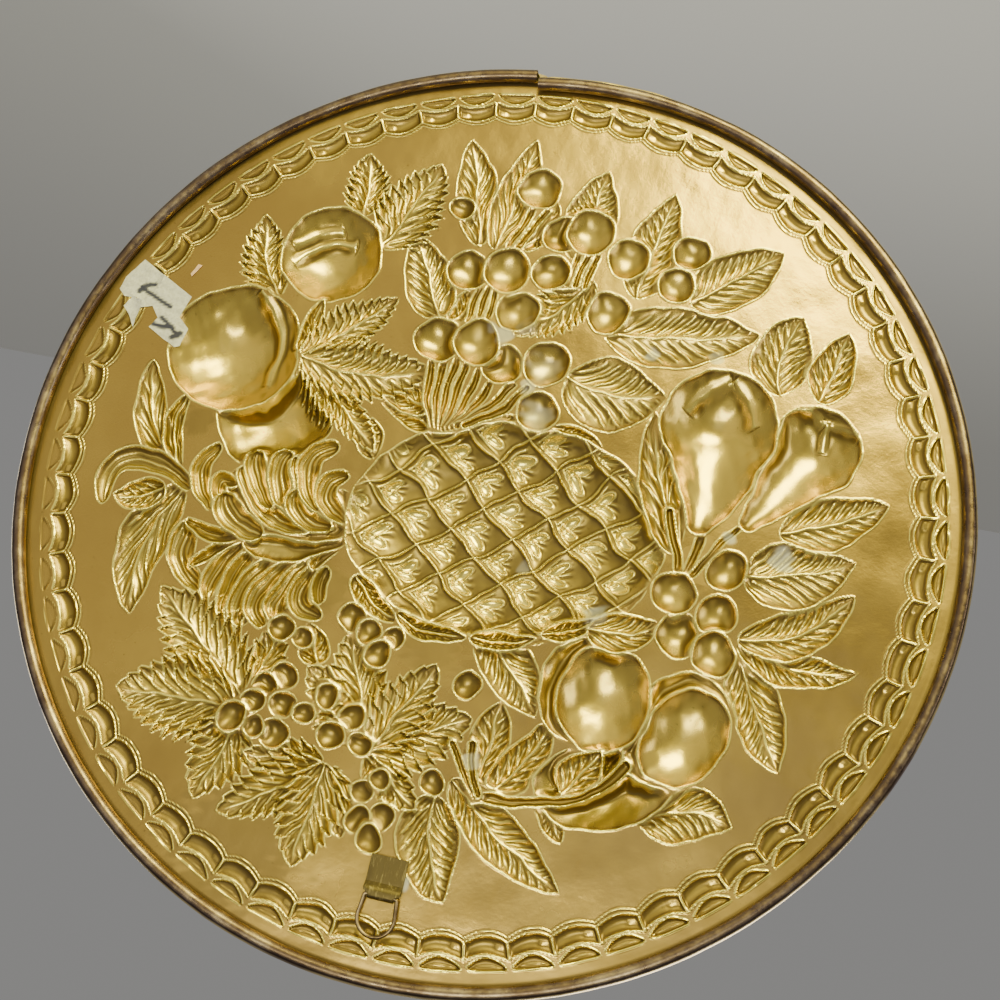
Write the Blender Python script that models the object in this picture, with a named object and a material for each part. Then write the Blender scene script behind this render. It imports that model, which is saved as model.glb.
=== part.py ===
"""A round wall plaque of pressed sheet brass: a pineapple among fruit and leaves, a scalloped border,
a rolled edge, and a ring in a folded strap on its hollow back.

Metres, +Z up. The display side faces -Y and the hollow back faces +Y. The origin is the point inside
the ring's top where a nail carries the plaque.
"""

import math

import bmesh
import bpy
import numpy as np
from mathutils import Vector
from mathutils.geometry import delaunay_2d_cdt

# Driving sizes, in metres
PLAQUE_DIAMETER = 0.457
SHEET_THICKNESS = 0.0007
ROLL_DIAMETER = 0.0066
ROLL_DENT = 0.0043
SEAM_WIDTH = 0.0012
FRUIT_RISE = 0.52
BERRY_RISE = 0.62
PINEAPPLE_DEPTH = 0.0115
CELL_DEPTH = 0.0030
LEAF_DEPTH = 0.0050
CROWN_DEPTH = 0.0065
STEM_DEPTH = 0.0024
CLEFT_DEPTH = 0.0026
BORDER_DEPTH = 0.0023
EYE_DEPTH = 0.0019
BORDER_LINE_DEPTH = 0.0006
STRAP_WIDTH = 0.0170
TONGUE_WIDTH = 0.0118
STRAP_THICKNESS = 0.0008
STRAP_LENGTH = 0.0160
RING_DIAMETER = 0.0186
RING_WIRE = 0.0018
RING_BAR_DROP = 0.0093
RING_BELOW_RIM = 0.0300
HANGER_OFFSET = -0.0015
FACE_GAP = 0.0003
WIRE_PLAY = 0.00035

# Counts and angles
SCALLOPS = 66
ROLL_ANGLES = (-90, -50, -10, 30, 70, 110, 150, 190, 210)
SEAM_SCALLOP = -34
DENT_SCALLOPS = 5.5
RELIEF_STEP = 0.0022
RELIEF_FACES = 2250

# Places worked out from the sizes
RADIUS = PLAQUE_DIAMETER / 2
ROLL_MIDDLE = (ROLL_DIAMETER - SHEET_THICKNESS) / 2
PLATE_RADIUS = RADIUS - ROLL_DIAMETER / 2
RING_MIDDLE = RING_DIAMETER / 2 - RING_WIRE / 2
RING_HEIGHT = RADIUS - RING_BELOW_RIM
NAIL_HEIGHT = RING_HEIGHT + RING_DIAMETER / 2 - RING_WIRE
EYE_RADIUS = RING_WIRE / 2 + WIRE_PLAY
STRAP_FOOT = SHEET_THICKNESS / 2 + FACE_GAP
RING_DEPTH = STRAP_FOOT + STRAP_THICKNESS + EYE_RADIUS
CENTRE = Vector((-HANGER_OFFSET, -RING_DEPTH, -NAIL_HEIGHT))

# The drawing: places in millimetres on a plaque of 228.5 mm radius, seen from the display side, with
# its middle at 0, 0. It grows and shrinks with the plaque.
DRAWN_RADIUS = 228.5
SCALE = RADIUS / DRAWN_RADIUS
EDGE_BLEND = 2.6

# Leaves: foot x, z, tip x, z, half width, bow to the left of the way to the tip
OUTER_LEAVES = (
    (-30, -26, -58, -36, 7, 3),
    (-34, -40, -64, -50, 8, -2),
    (-36, -84, -27, -104, 7, 2),
    (132, 52, 158, 100, 12.5, 0),
    (131, 46, 184, 49, 9, 5),
    (131, 44, 178, 14, 11, 7),
    (128, 14, 176, -1, 16, 2),
    (141, -10, 187, -32, 12, 2),
    (129, -76, 134, -117, 14.5, -5),
    (146, -76, 154, -113, 10, 1.5),
    (101, 133, 143, 127, 13, -5),
    (28, 136, 31, 93, 10, 0),
    (34, 137, 56, 96, 9.5, 3),
    (17, 132, 75, 171, 11.5, 3),
    (11, 141, 26, 186, 14, 5),
    (16, 60, 48, 98, 12.5, 0),
    (42, -92, 113, -105, 16, 2),
    (78, -115, 118, -149, 14.5, 0),
    (52, -113, 60, -171, 13, 0),
    (18, -128, 25, -178, 13, 0),
    (-30, -127, -47, -184, 11, 0),
    (-22, -126, -14, -190, 10, 0),
    (-41, -85, -63, -127, 13, 0),
    (-93, -133, -97, -167, 10, 0),
    (-79, -117, -59, -168, 15, 0),
    (-124, -82, -142, -125, 12, -4),
    (-143, 24, -151, 90, 13, 9),
    (-147, 17, -178, -37, 9.5, -7),
    (-148, 16, -151, -28, 4.5, -8),
)
FRONT_LEAF = (66, 128, 80, 107, 9, 0)
CURLED_LEAF = (-154, 26, -177, 34, 7.5, -2)
INNER_LEAVES = (
    (-103, -53, -56, -12, 9, 0),
    (-105, -56, -101, -84, 5, 0),
    (-103, -54, -64, -92, 11, 0),
    (-103, -53, -38, -57, 14, 5),
    (28, -66, 76, -65, 19, 4),
    (30, -117, -2, -82, 12, 0),
    (62, 53, 95, 44, 9.5, 3),
    (96, 10, 73, -56, 10, -3),
)
TOOTHED_LOBES = (
    (-84, 112, -78, 78, 9, 0),
    (-88, 116, -140, 74, 17, 0),
    (-90, 122, -148, 124, 18, 0),
    (-86, 126, -97, 166, 14, 0),
    (-42, 138, -80, 141, 8, 0),
    (-42, 140, -85, 170, 12, 0),
    (-38, 140, -26, 168, 8, 0),
    (-41, 139, -46, 186, 13, 0),
    (-24, 130, 4, 150, 10, 0),
    (-24, 126, -60, 97, 14, 0),
    (-23, 127, 20, 104, 16, 0),
    (-24, 126, -46, 76, 14, 0),
    (-23, 126, -2, 84, 12, 0),
)

# Blades: half width, and points from the foot to the tip
CROWN_BLADES = (
    (6.5, ((-133, 38), (-137, 50), (-134, 62), (-121, 72))),
    (5.5, ((-107, 40), (-116, 54), (-119, 66), (-117, 79))),
    (5.5, ((-99, 44), (-107, 58), (-112, 71), (-107, 85))),
    (5.5, ((-86, 47), (-97, 61), (-101, 74), (-96, 87))),
    (5.2, ((-78, 47), (-89, 61), (-92, 73), (-87, 83))),
    (5.0, ((-73, 48), (-81, 62), (-81, 74), (-72, 77))),
    (4.6, ((-68, 47), (-75, 59), (-73, 69), (-61, 71))),
    (3.6, ((-62, 48), (-66, 57), (-62, 66))),
    (4.2, ((-56, 28), (-65, 38), (-72, 52))),
    (5.2, ((-126, 32), (-137, 21), (-138, 10), (-132, 0))),
    (3.8, ((-117, 34), (-126, 25), (-127, 15), (-118, 17))),
    (5.2, ((-80, 34), (-98, 29), (-113, 19), (-119, 6))),
    (4.2, ((-92, 28), (-105, 18), (-112, 4), (-107, -1))),
    (4.8, ((-72, 31), (-87, 24), (-99, 11), (-100, -5))),
    (5.0, ((-73, 28), (-85, 14), (-86, -3), (-74, -10))),
    (4.6, ((-60, 26), (-73, 18), (-75, 7), (-66, 3))),
    (6.0, ((-57, 31), (-78, 37), (-101, 41), (-122, 36), (-143, 25))),
)
SMOOTH_BLADES = (
    (7.5, ((-141, 23), (-157, 15), (-174, 14), (-185, 25), (-181, 40))),
)

# Domed fruit: middle x, z, half lengths along and across, turn in degrees
BACK_FRUIT = (
    (84, 121, 31, 20, -20),
    (111, 90, 28, 22, 115),
    (115, 93, 24, 18, 115),
    (70, 80, 24, 27, 0),
    (76, 83, 21, 25, 0),
    (-109, -20, 29, 28, 0),
    (-139, -51, 34, 33.5, 0),
    (-103, -109, 25.5, 26.5, 0),
)
PINEAPPLE = (14, 15, 76, 54, -3)
CELL = (29, 24)
CELL_NODE = (2, 28)
CELLED_SHARE = 0.9

# Pears: circles from the neck to the bulb, x, z, radius
PEARS = (
    ((126, -12, 5.5), (133, -24, 9.5), (141, -38, 15.5), (149, -52, 21.5)),
    ((104, -7, 6.5), (105.5, -20, 12), (105.5, -34, 18), (103.5, -56, 27.5)),
)

# Clefts in the fruit, as points along each
CLEFTS = (
    ((-121, -36), (-118, -60), (-124, -74), (-133, -84)),
    ((-122, -103), (-116, -113), (-106, -119), (-95, -119)),
    ((111, -44), (117, -60), (110, -73), (104, -84)),
    ((152, -48), (154, -60), (151, -74)),
)

# Stems: radius, and points along each
STEMS = (
    (2.1, ((28, 138), (45, 137), (62, 134), (78, 127), (88, 117), (93, 111))),
    (2.2, ((-30, -30), (-36, -45), (-37, -62))),
    (2.2, ((-26, -30), (-26, -48), (-26, -65))),
    (2.2, ((-22, -31), (-14, -45), (-11, -62))),
    (2.2, ((-18, -33), (-3, -44), (4, -58))),
    (1.9, ((98, 19), (95, 4), (88, -9))),
    (1.9, ((102, 18), (106, -3))),
)

# Berries: x, z, radius
BERRIES = (
    (104, 47, 10.5), (98, 29, 10), (119.5, 13, 9.5), (119, 35, 9.8), (121, 53, 9.8),
    (14, 90, 6.5), (9, 136, 5.5), (-22, 147, 5), (-10, 156, 6), (-21, 159, 6), (-13, 166, 6.2),
    (-67, 84, 5), (-78, 82, 6.5), (-70, 103, 6), (-78, 110, 6.5), (-68, 116, 6.5), (-69, 130, 7),
    (-78, 129, 5), (-82, 118, 6), (-90, 126, 7), (-28, 126, 5.5), (-34, 115, 6), (-42, 125, 6.5),
    (-25, 76, 5.5), (-46, 70, 6.5), (-37, 75, 6), (-30, 84, 6.5),
    (-5, -67, 10), (-39, -74, 11.5), (-20, -76, 11.5), (17, -46, 10.5), (16, -71, 11.5),
    (-4, -96, 11), (-33, -113, 10.5), (-14, -116, 11.5), (40, -103, 10.5), (8, -119, 9.5),
    (44, -133, 10.5), (9, -140, 9.5), (23, -144, 11.5), (-7, -163, 10.5), (74, -141, 9),
    (70, -123, 8.7), (-44, -146, 6.5), (-57, 118, 5), (-49, 108, 5.5), (-15, 140, 5),
)

# The scalloped border, in millimetres of the drawing, from the middle of the plaque
BORDER_CUSP = 204.0
BORDER_BOW = 3.0
EYE_TOP = 219.7
EYE_REACH = 10.5

# Colours: red, green, blue
BRASS = (0.60, 0.42, 0.13)
OLD_BRASS = (0.27, 0.17, 0.09)
DARK_WIRE = (0.20, 0.12, 0.07)


def clear_scene():
    for old in list(bpy.data.objects):
        bpy.data.objects.remove(old, do_unlink=True)


def metal(name, colour, roughness):
    material = bpy.data.materials.new(name)
    material.use_nodes = True
    shader = material.node_tree.nodes["Principled BSDF"]
    shader.inputs["Base Color"].default_value = (*colour, 1.0)
    shader.inputs["Metallic"].default_value = 1.0
    shader.inputs["Roughness"].default_value = roughness
    return material


def add_object(name, mesh, material):
    piece = bpy.data.objects.new(name, mesh)
    mesh.materials.append(material)
    mesh.shade_smooth()
    mesh.set_sharp_from_angle(angle=math.radians(35))
    bpy.context.scene.collection.objects.link(piece)
    return piece


# The relief, as a height towards the display side, over points in millimetres of the drawing

def bowed_path(x0, z0, x1, z1, bow, count=13):
    """Points on a curve from foot to tip that bows to its left."""
    t = np.linspace(0, 1, count)
    length = math.hypot(x1 - x0, z1 - z0)
    side = 4 * bow * t * (1 - t) / length
    return np.stack([x0 + (x1 - x0) * t - (z1 - z0) * side, z0 + (z1 - z0) * t + (x1 - x0) * side], axis=1)


def rounded_path(points, passes=3):
    """The points with their corners cut, so that they run as a smooth curve."""
    path = np.array(points, dtype=float)
    for _ in range(passes):
        start, step = path[:-1], path[1:] - path[:-1]
        cut = np.stack([start + 0.25 * step, start + 0.75 * step], axis=1).reshape(-1, 2)
        path = np.concatenate([path[:1], cut, path[-1:]])
    return path


def along_path(x, z, path):
    """For each point, the share of the way along the path, and the distance, positive to its left."""
    start = path[:-1]
    step = path[1:] - start
    from_x = x[:, None] - start[:, 0]
    from_z = z[:, None] - start[:, 1]
    share = np.clip((from_x * step[:, 0] + from_z * step[:, 1]) / (step**2).sum(axis=1), 0, 1)
    off = (from_x - share * step[:, 0])**2 + (from_z - share * step[:, 1])**2
    rows = np.arange(len(x))
    near = off.argmin(axis=1)
    turn = step[near, 0] * from_z[rows, near] - step[near, 1] * from_x[rows, near]
    distance = np.sqrt(off[rows, near])
    return (near + share[rows, near]) / len(step), np.where(turn < 0, -distance, distance)


class Relief:
    """Heights at a set of points, painted motif by motif."""

    def __init__(self, x, z):
        self.x = x
        self.z = z
        self.height = np.zeros_like(x)
        self.celled = np.zeros(x.shape, dtype=bool)

    def near(self, points, margin):
        """The points within a margin of a motif's corner points."""
        low = points.min(axis=0) - margin
        high = points.max(axis=0) + margin
        inside = (self.x > low[0]) & (self.x < high[0]) & (self.z > low[1]) & (self.z < high[1])
        return np.nonzero(inside)[0]

    def paint(self, at, outside, height):
        """Lay a motif over what is there, and draw that down to the motif's edge."""
        faded = self.height[at] * (1 - np.exp(-(np.maximum(outside, 0) / EDGE_BLEND)**2))
        self.height[at] = np.where(outside < 0, height, faded)
        self.celled[at] &= outside > 1.0

    def leaf(self, x0, z0, x1, z1, half_width, bow, depth):
        path = bowed_path(x0, z0, x1, z1, bow)
        at = self.near(path, half_width + 3 * EDGE_BLEND)
        share, side = along_path(self.x[at], self.z[at], path)
        swell = (share**0.6 * (1 - share)**0.85) / (0.41**0.6 * 0.59**0.85)
        width = np.maximum(half_width * swell, 0.01)
        across = np.abs(side) / width
        rib = 1 - 0.5 * np.exp(-(side / (0.16 * half_width))**2)
        height = depth * np.clip(swell, 0, 1)**0.6 * np.clip(1 - across**2.6, 0, 1) * rib
        self.paint(at, np.abs(side) - width, height)

    def blade(self, half_width, points, depth):
        path = rounded_path(points)
        at = self.near(path, half_width + 3 * EDGE_BLEND)
        share, side = along_path(self.x[at], self.z[at], path)
        swell = (share**0.45 * (1 - share)**0.6) / (0.43**0.45 * 0.57**0.6)
        width = np.maximum(half_width * swell, 0.01)
        across = np.abs(side) / width
        height = depth * np.clip(swell, 0, 1)**0.6 * np.clip(1 - across**2.6, 0, 1)
        self.paint(at, np.abs(side) - width, height)

    def dome(self, x0, z0, along, across, turn, depth):
        corner = np.array([[x0 - along, z0 - along], [x0 + along, z0 + along]], dtype=float)
        at = self.near(corner, 3 * EDGE_BLEND + max(0, across - along))
        c, s = math.cos(math.radians(turn)), math.sin(math.radians(turn))
        u = ((self.x[at] - x0) * c + (self.z[at] - z0) * s) / along
        v = ((self.z[at] - z0) * c - (self.x[at] - x0) * s) / across
        reach = np.sqrt(u**2 + v**2)
        height = depth * np.clip(1 - reach**2, 0, 1)**0.72
        self.paint(at, (reach - 1) * min(along, across), height)

    def pear(self, circles, rise):
        circles = np.array(circles)
        fine = np.linspace(0, len(circles) - 1, 25)
        chain = np.stack([np.interp(fine, range(len(circles)), circles[:, k]) for k in range(3)], axis=1)
        at = self.near(chain[:, :2], chain[:, 2].max() + 3 * EDGE_BLEND)
        off = np.hypot(self.x[at, None] - chain[:, 0], self.z[at, None] - chain[:, 1])
        outside = (off - chain[:, 2]).min(axis=1)
        bulge = rise * chain[:, 2] * np.clip(1 - (off / chain[:, 2])**2, 0, 1)**0.72
        self.paint(at, outside, bulge.max(axis=1))

    def stem(self, radius, points, depth):
        path = rounded_path(points, 2)
        at = self.near(path, radius + 3 * EDGE_BLEND)
        side = np.abs(along_path(self.x[at], self.z[at], path)[1])
        height = depth * np.clip(1 - (side / radius)**2, 0, 1)**0.7
        self.paint(at, side - radius, height)

    def cleft(self, points, depth, width=2.6):
        path = np.array(points, dtype=float)
        at = self.near(path, 4 * width)
        share, side = along_path(self.x[at], self.z[at], path)
        cut = depth * np.exp(-(side / width)**2) * np.sqrt(np.sin(np.pi * np.clip(share, 0.02, 1)))
        self.height[at] -= np.minimum(cut, np.maximum(self.height[at], 0))

    def pineapple(self, depth, cell_depth):
        x0, z0, along, across, turn = PINEAPPLE
        self.dome(x0, z0, along, across, turn, 1.0)
        c, s = math.cos(math.radians(turn)), math.sin(math.radians(turn))
        u = ((self.x - x0) * c + (self.z - z0) * s) / along
        v = ((self.z - z0) * c - (self.x - x0) * s) / across
        reach = u**2 + v**2
        at = np.nonzero(reach < 1)[0]
        body = depth * (1 - reach[at]**1.25)**0.65
        p = (self.x[at] - CELL_NODE[0]) / CELL[0] + (self.z[at] - CELL_NODE[1]) / CELL[1]
        q = (self.x[at] - CELL_NODE[0]) / CELL[0] - (self.z[at] - CELL_NODE[1]) / CELL[1]
        cell = np.abs(np.sin(np.pi * p) * np.sin(np.pi * q))**0.6
        self.height[at] = body + (cell - 0.5) * cell_depth * np.clip((1 - reach[at]) * 6, 0, 1)
        self.celled[at] = reach[at] < CELLED_SHARE


def draw_relief(x, z):
    """The relief inside the border, at points of the drawing: heights, and where the cells show."""
    relief = Relief(x, z)
    leaf = LEAF_DEPTH / SCALE
    crown = CROWN_DEPTH / SCALE
    for row in OUTER_LEAVES:
        relief.leaf(*row, leaf)
    for x0, z0, along, across, turn in BACK_FRUIT[:6]:
        relief.dome(x0, z0, along, across, turn, FRUIT_RISE * min(along, across))
    relief.leaf(*FRONT_LEAF, leaf)
    for row in SMOOTH_BLADES:
        relief.blade(*row, leaf)
    relief.leaf(*CURLED_LEAF, leaf)
    for row in CROWN_BLADES:
        relief.blade(*row, crown)
    relief.pineapple(PINEAPPLE_DEPTH / SCALE, CELL_DEPTH / SCALE)
    for row in TOOTHED_LOBES:
        relief.leaf(*row, leaf)
    for x0, z0, along, across, turn in BACK_FRUIT[6:]:
        relief.dome(x0, z0, along, across, turn, FRUIT_RISE * min(along, across))
    for row in INNER_LEAVES:
        relief.leaf(*row, leaf)
    for row in STEMS:
        relief.stem(*row, STEM_DEPTH / SCALE)
    for circles in PEARS:
        relief.pear(circles, FRUIT_RISE)
    for points in CLEFTS:
        relief.cleft(points, CLEFT_DEPTH / SCALE)
    for x0, z0, radius in BERRIES:
        relief.dome(x0, z0, radius, radius, 0, BERRY_RISE * radius)
    return relief.height, relief.celled


def cell_points():
    """The pineapple's lattice: a point at each crossing and in each cell, and the lines between."""
    x0, z0, along, across, _ = PINEAPPLE
    columns = range(int((x0 - along) / CELL[0]) * 2 - 4, int((x0 + along) / CELL[0]) * 2 + 5)
    rows = range(int((z0 - across) / CELL[1]) * 2 - 4, int((z0 + across) / CELL[1]) * 2 + 5)
    place = {}
    for i in columns:
        for k in rows:
            place[i, k] = (CELL_NODE[0] + i * CELL[0] / 2, CELL_NODE[1] + k * CELL[1] / 2)
    spots = np.array(list(place.values()), dtype=float)
    shown = draw_relief(spots[:, 0], spots[:, 1])[1]
    kept = [key for key, seen in zip(place, shown) if seen]
    index = {key: k for k, key in enumerate(kept)}
    edges = []
    for (i, k), here in index.items():
        if (i + k) % 2 == 0:
            edges += [(here, index[end]) for end in ((i + 1, k + 1), (i + 1, k - 1)) if end in index]
    return [Vector(place[key]) for key in kept], edges


def relief_points():
    """Vertices and edges of the relief, thinned from a fine grid to few faces."""
    reach = BORDER_CUSP - BORDER_BOW - 3.0
    step = RELIEF_STEP / SCALE
    count = int(reach / step) + 1
    line = np.arange(-count, count + 1) * step
    x, z = np.meshgrid(line, line, indexing="ij")
    height = draw_relief(x.ravel(), z.ravel())[0]
    index = np.arange(x.size).reshape(x.shape)
    corner = [index[:-1, :-1], index[1:, :-1], index[1:, 1:], index[:-1, 1:]]
    quads = np.stack([part.ravel() for part in corner], axis=1)
    inside = np.hypot(x.ravel(), z.ravel()) < reach
    quads = quads[inside[quads].all(axis=1)]
    mesh = bpy.data.meshes.new("relief grid")
    mesh.from_pydata(np.stack([x.ravel(), z.ravel(), height], axis=1).tolist(), [], quads.tolist())
    grid = bpy.data.objects.new("relief grid", mesh)
    bpy.context.scene.collection.objects.link(grid)
    thin = grid.modifiers.new("Thin", "DECIMATE")
    thin.ratio = RELIEF_FACES / (2 * len(quads))
    thin.use_collapse_triangulate = True
    graph = bpy.context.evaluated_depsgraph_get()
    result = grid.evaluated_get(graph).to_mesh()
    points = [Vector(vertex.co[:2]) for vertex in result.vertices]
    edges = [tuple(edge.vertices) for edge in result.edges]
    bpy.data.objects.remove(grid, do_unlink=True)
    spots = np.array(points)
    celled = draw_relief(spots[:, 0], spots[:, 1])[1]
    edges = [(a, b) for a, b in edges if not celled[a] and not celled[b]]
    used = sorted({end for edge in edges for end in edge})
    place = {old: new for new, old in enumerate(used)}
    cells, cell_edges = cell_points()
    edges = [(place[a], place[b]) for a, b in edges]
    edges += [(a + len(used), b + len(used)) for a, b in cell_edges]
    return [points[old] for old in used] + cells, edges


# The scalloped border: rows of points in each scallop, joined along its ridges

def border_angle(scallop):
    return math.radians(90) + 2 * math.pi * scallop / SCALLOPS


def border_rows():
    """For one scallop: share across it, distance from the plaque's middle and height, and its ridges."""
    line = -BORDER_LINE_DEPTH / SCALE
    band = BORDER_DEPTH / SCALE
    eye = EYE_DEPTH / SCALE
    arc = BORDER_CUSP - BORDER_BOW
    eye_edge = EYE_TOP - EYE_REACH
    rows = (
        (0.0, BORDER_CUSP, line),
        (0.5, arc, line),
        (0.25, arc + 2.6, band),
        (0.75, arc + 2.6, band),
        (0.0, BORDER_CUSP + 8, 0.0),
        (0.15, eye_edge + 5.0, line),
        (0.5, eye_edge, line),
        (0.85, eye_edge + 5.0, line),
        (0.5, eye_edge + 5.0, eye),
        (0.5, EYE_TOP, 0.0),
    )
    ridges = ((0, 1), (1, -1), (2, 3), (0, 4), (5, 6), (6, 7), (9, 5), (9, 7))
    return rows, ridges


def border_points():
    rows, ridges = border_rows()
    count = len(rows)
    points = []
    heights = []
    edges = []
    for scallop in range(SCALLOPS):
        for share, distance, height in rows:
            angle = border_angle(scallop + share)
            points.append(Vector((distance * math.cos(angle), distance * math.sin(angle))))
            heights.append(height)
        first = scallop * count
        following = ((scallop + 1) % SCALLOPS) * count
        for a, b in ridges:
            end = following - b - 1 if b < 0 else first + b
            edges.append((first + a, end))
    return points, heights, edges


# The sheet: a middle surface whose points each have a front and a back

def roll_stations():
    """Where the rolled edge has a section, from one side of the seam to the other: angle and dent."""
    seam = border_angle(SEAM_SCALLOP)
    half = SEAM_WIDTH / 2 / RADIUS
    step = 2 * math.pi / SCALLOPS
    angles = [seam + half] + [seam + step * k for k in range(1, SCALLOPS)] + [seam + 2 * math.pi - half]
    dents = [ROLL_DENT * max(0.0, 1 - k / DENT_SCALLOPS)**1.4 for k in range(SCALLOPS)] + [0.0]
    return list(zip(angles, dents))


def sheet_mesh():
    """The pressed sheet with its rolled edge, as one closed mesh."""
    stations = roll_stations()
    points, edges = relief_points()
    band, band_heights, band_edges = border_points()
    first_band = len(points)
    first_rim = first_band + len(band)
    edges += [(a + first_band, b + first_band) for a, b in band_edges]
    points += band
    plate = [(PLATE_RADIUS - dent) / SCALE for _, dent in stations]
    points += [Vector((r * math.cos(a), r * math.sin(a))) for r, (a, _) in zip(plate, stations)]
    count = len(stations)
    edges += [(first_rim + k, first_rim + (k + 1) % count) for k in range(count)]
    flat, _, faces, origin, _, _ = delaunay_2d_cdt(points, edges, [], 1, 1e-5)
    x = np.array([point[0] for point in flat])
    z = np.array([point[1] for point in flat])
    height = draw_relief(x, z)[0]
    rim = [0] * count
    for new, sources in enumerate(origin):
        for old in sources:
            if old >= first_rim:
                rim[old - first_rim] = new
                height[new] = 0.0
            elif old >= first_band:
                height[new] = band_heights[old - first_band]
    half = SHEET_THICKNESS / 2
    front = [CENTRE + Vector((a * SCALE, -h * SCALE - half, b * SCALE)) for a, b, h in zip(x, z, height)]
    back = [point + Vector((0, SHEET_THICKNESS, 0)) for point in front]
    triangles = [tuple(face) for face in faces]
    previous = rim
    for degrees in ROLL_ANGLES[1:]:
        c, s = math.cos(math.radians(degrees)), math.sin(math.radians(degrees))
        row = list(range(len(front), len(front) + count))
        for angle, dent in stations:
            out = Vector((math.cos(angle), 0, math.sin(angle)))
            middle = CENTRE + out * (PLATE_RADIUS - dent) + Vector((0, ROLL_MIDDLE, 0))
            ray = out * c + Vector((0, s, 0))
            front.append(middle + ray * (ROLL_MIDDLE + half))
            back.append(middle + ray * (ROLL_MIDDLE - half))
        for k in range(count - 1):
            triangles.append((previous[k], row[k], row[k + 1]))
            triangles.append((previous[k], row[k + 1], previous[k + 1]))
        previous = row
    return thicken(front, back, triangles)


def thicken(front, back, triangles):
    """Close a sheet whose points each have a front and a back place."""
    mesh = bpy.data.meshes.new("sheet")
    shape = bmesh.new()
    near = [shape.verts.new(point) for point in front]
    far = [shape.verts.new(point) for point in back]
    once = set()
    for a, b, c in triangles:
        shape.faces.new((near[a], near[b], near[c]))
        shape.faces.new((far[c], far[b], far[a]))
        for edge in ((a, b), (b, c), (c, a)):
            if (edge[1], edge[0]) in once:
                once.remove((edge[1], edge[0]))
            else:
                once.add(edge)
    for a, b in sorted(once):
        shape.faces.new((near[b], near[a], far[a], far[b]))
    bmesh.ops.triangulate(shape, faces=[face for face in shape.faces if len(face.verts) > 3])
    bmesh.ops.recalc_face_normals(shape, faces=shape.faces)
    shape.to_mesh(mesh)
    shape.free()
    return mesh


# The hanger

def prism(name, outline, half_width):
    """A closed outline of y, z points, drawn out along X to both sides of the hanger's middle."""
    shape = bmesh.new()
    near = [shape.verts.new((-half_width, y, z)) for y, z in outline]
    far = [shape.verts.new((half_width, y, z)) for y, z in outline]
    shape.faces.new(near)
    shape.faces.new(list(reversed(far)))
    for k in range(len(outline)):
        following = (k + 1) % len(outline)
        shape.faces.new((near[following], near[k], far[k], far[following]))
    bmesh.ops.recalc_face_normals(shape, faces=shape.faces)
    mesh = bpy.data.meshes.new(name)
    shape.to_mesh(mesh)
    shape.free()
    return mesh


def arc(y, z, radius, start, end, steps):
    angles = [math.radians(start + (end - start) * k / steps) for k in range(steps + 1)]
    return [(y + radius * math.cos(a), z + radius * math.sin(a)) for a in angles]


def make_strap(material):
    """A strip folded over the ring's bar, its two layers soldered into one below the shoulder."""
    foot = STRAP_FOOT - RING_DEPTH
    top = foot + 2 * STRAP_THICKNESS
    bar = RING_HEIGHT - NAIL_HEIGHT - RING_BAR_DROP
    shoulder = bar - RING_WIRE / 2 - WIRE_PLAY
    outer = EYE_RADIUS + STRAP_THICKNESS
    end = shoulder - STRAP_LENGTH
    crease = shoulder - 2 * outer
    wide = [(foot, end), (foot, shoulder), (outer, shoulder), (outer, shoulder - outer / 2),
            (top, crease), (top, end)]
    strap = add_object("hanger_strap", prism("strap", wide, STRAP_WIDTH / 2), material)
    tongue_outline = [(foot, shoulder - outer / 2), (foot, bar)] + arc(0, bar, outer, 165, 0, 10)
    tongue_outline += [(outer, shoulder - outer / 2)]
    tongue = bpy.data.objects.new("tongue", prism("tongue", tongue_outline, TONGUE_WIDTH / 2))
    bore = bpy.data.objects.new("bore", prism("bore", arc(0, bar, EYE_RADIUS, 0, 342, 19), STRAP_WIDTH))
    for helper, action in ((tongue, "UNION"), (bore, "DIFFERENCE")):
        bpy.context.scene.collection.objects.link(helper)
        helper.hide_render = True
        helper.display_type = "WIRE"
        cut = strap.modifiers.new(helper.name, "BOOLEAN")
        cut.object = helper
        cut.operation = action
    return strap


def make_ring(material):
    """A wire ring, round above and closed by a straight bar inside the strap's fold."""
    middle = RING_HEIGHT - NAIL_HEIGHT
    bar_half = TONGUE_WIDTH / 2 + RING_WIRE / 2 + 2 * WIRE_PLAY
    corner = 0.6 * RING_WIRE
    side = math.acos(min(0.98, (bar_half + corner) / RING_MIDDLE))
    sweep = np.linspace(-side, math.pi + side, 19)
    path = [(RING_MIDDLE * math.cos(a), middle + RING_MIDDLE * math.sin(a)) for a in sweep]
    low = middle - RING_BAR_DROP
    for sign, start in ((-1, 180), (1, 270)):
        for k in range(4):
            a = math.radians(start + 30 * k)
            x = sign * (bar_half - corner) + corner * math.cos(a)
            path.append((x, low + corner + corner * math.sin(a)))
    curve = bpy.data.curves.new("hanging_ring", "CURVE")
    curve.dimensions = "3D"
    curve.bevel_depth = RING_WIRE / 2
    curve.bevel_resolution = 1
    line = curve.splines.new("POLY")
    line.points.add(len(path) - 1)
    for point, (x, z) in zip(line.points, path):
        point.co = (x, 0, z, 1)
    line.use_cyclic_u = True
    ring = bpy.data.objects.new("hanging_ring", curve)
    curve.materials.append(material)
    bpy.context.scene.collection.objects.link(ring)
    return ring


clear_scene()
add_object("plaque", sheet_mesh(), metal("Aged brass", BRASS, 0.32))
make_strap(metal("Old brass", OLD_BRASS, 0.5))
make_ring(metal("Dark wire", DARK_WIRE, 0.45))
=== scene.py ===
"""Looks of the pressed brass plaque: the fine relief, the rolled edge, the hanger, the torn label,
the finishes, the light and the camera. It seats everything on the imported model.
"""

import math

import bmesh
import bpy
import numpy as np
from mathutils import Matrix, Vector
from mathutils.geometry import delaunay_2d_cdt


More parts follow.
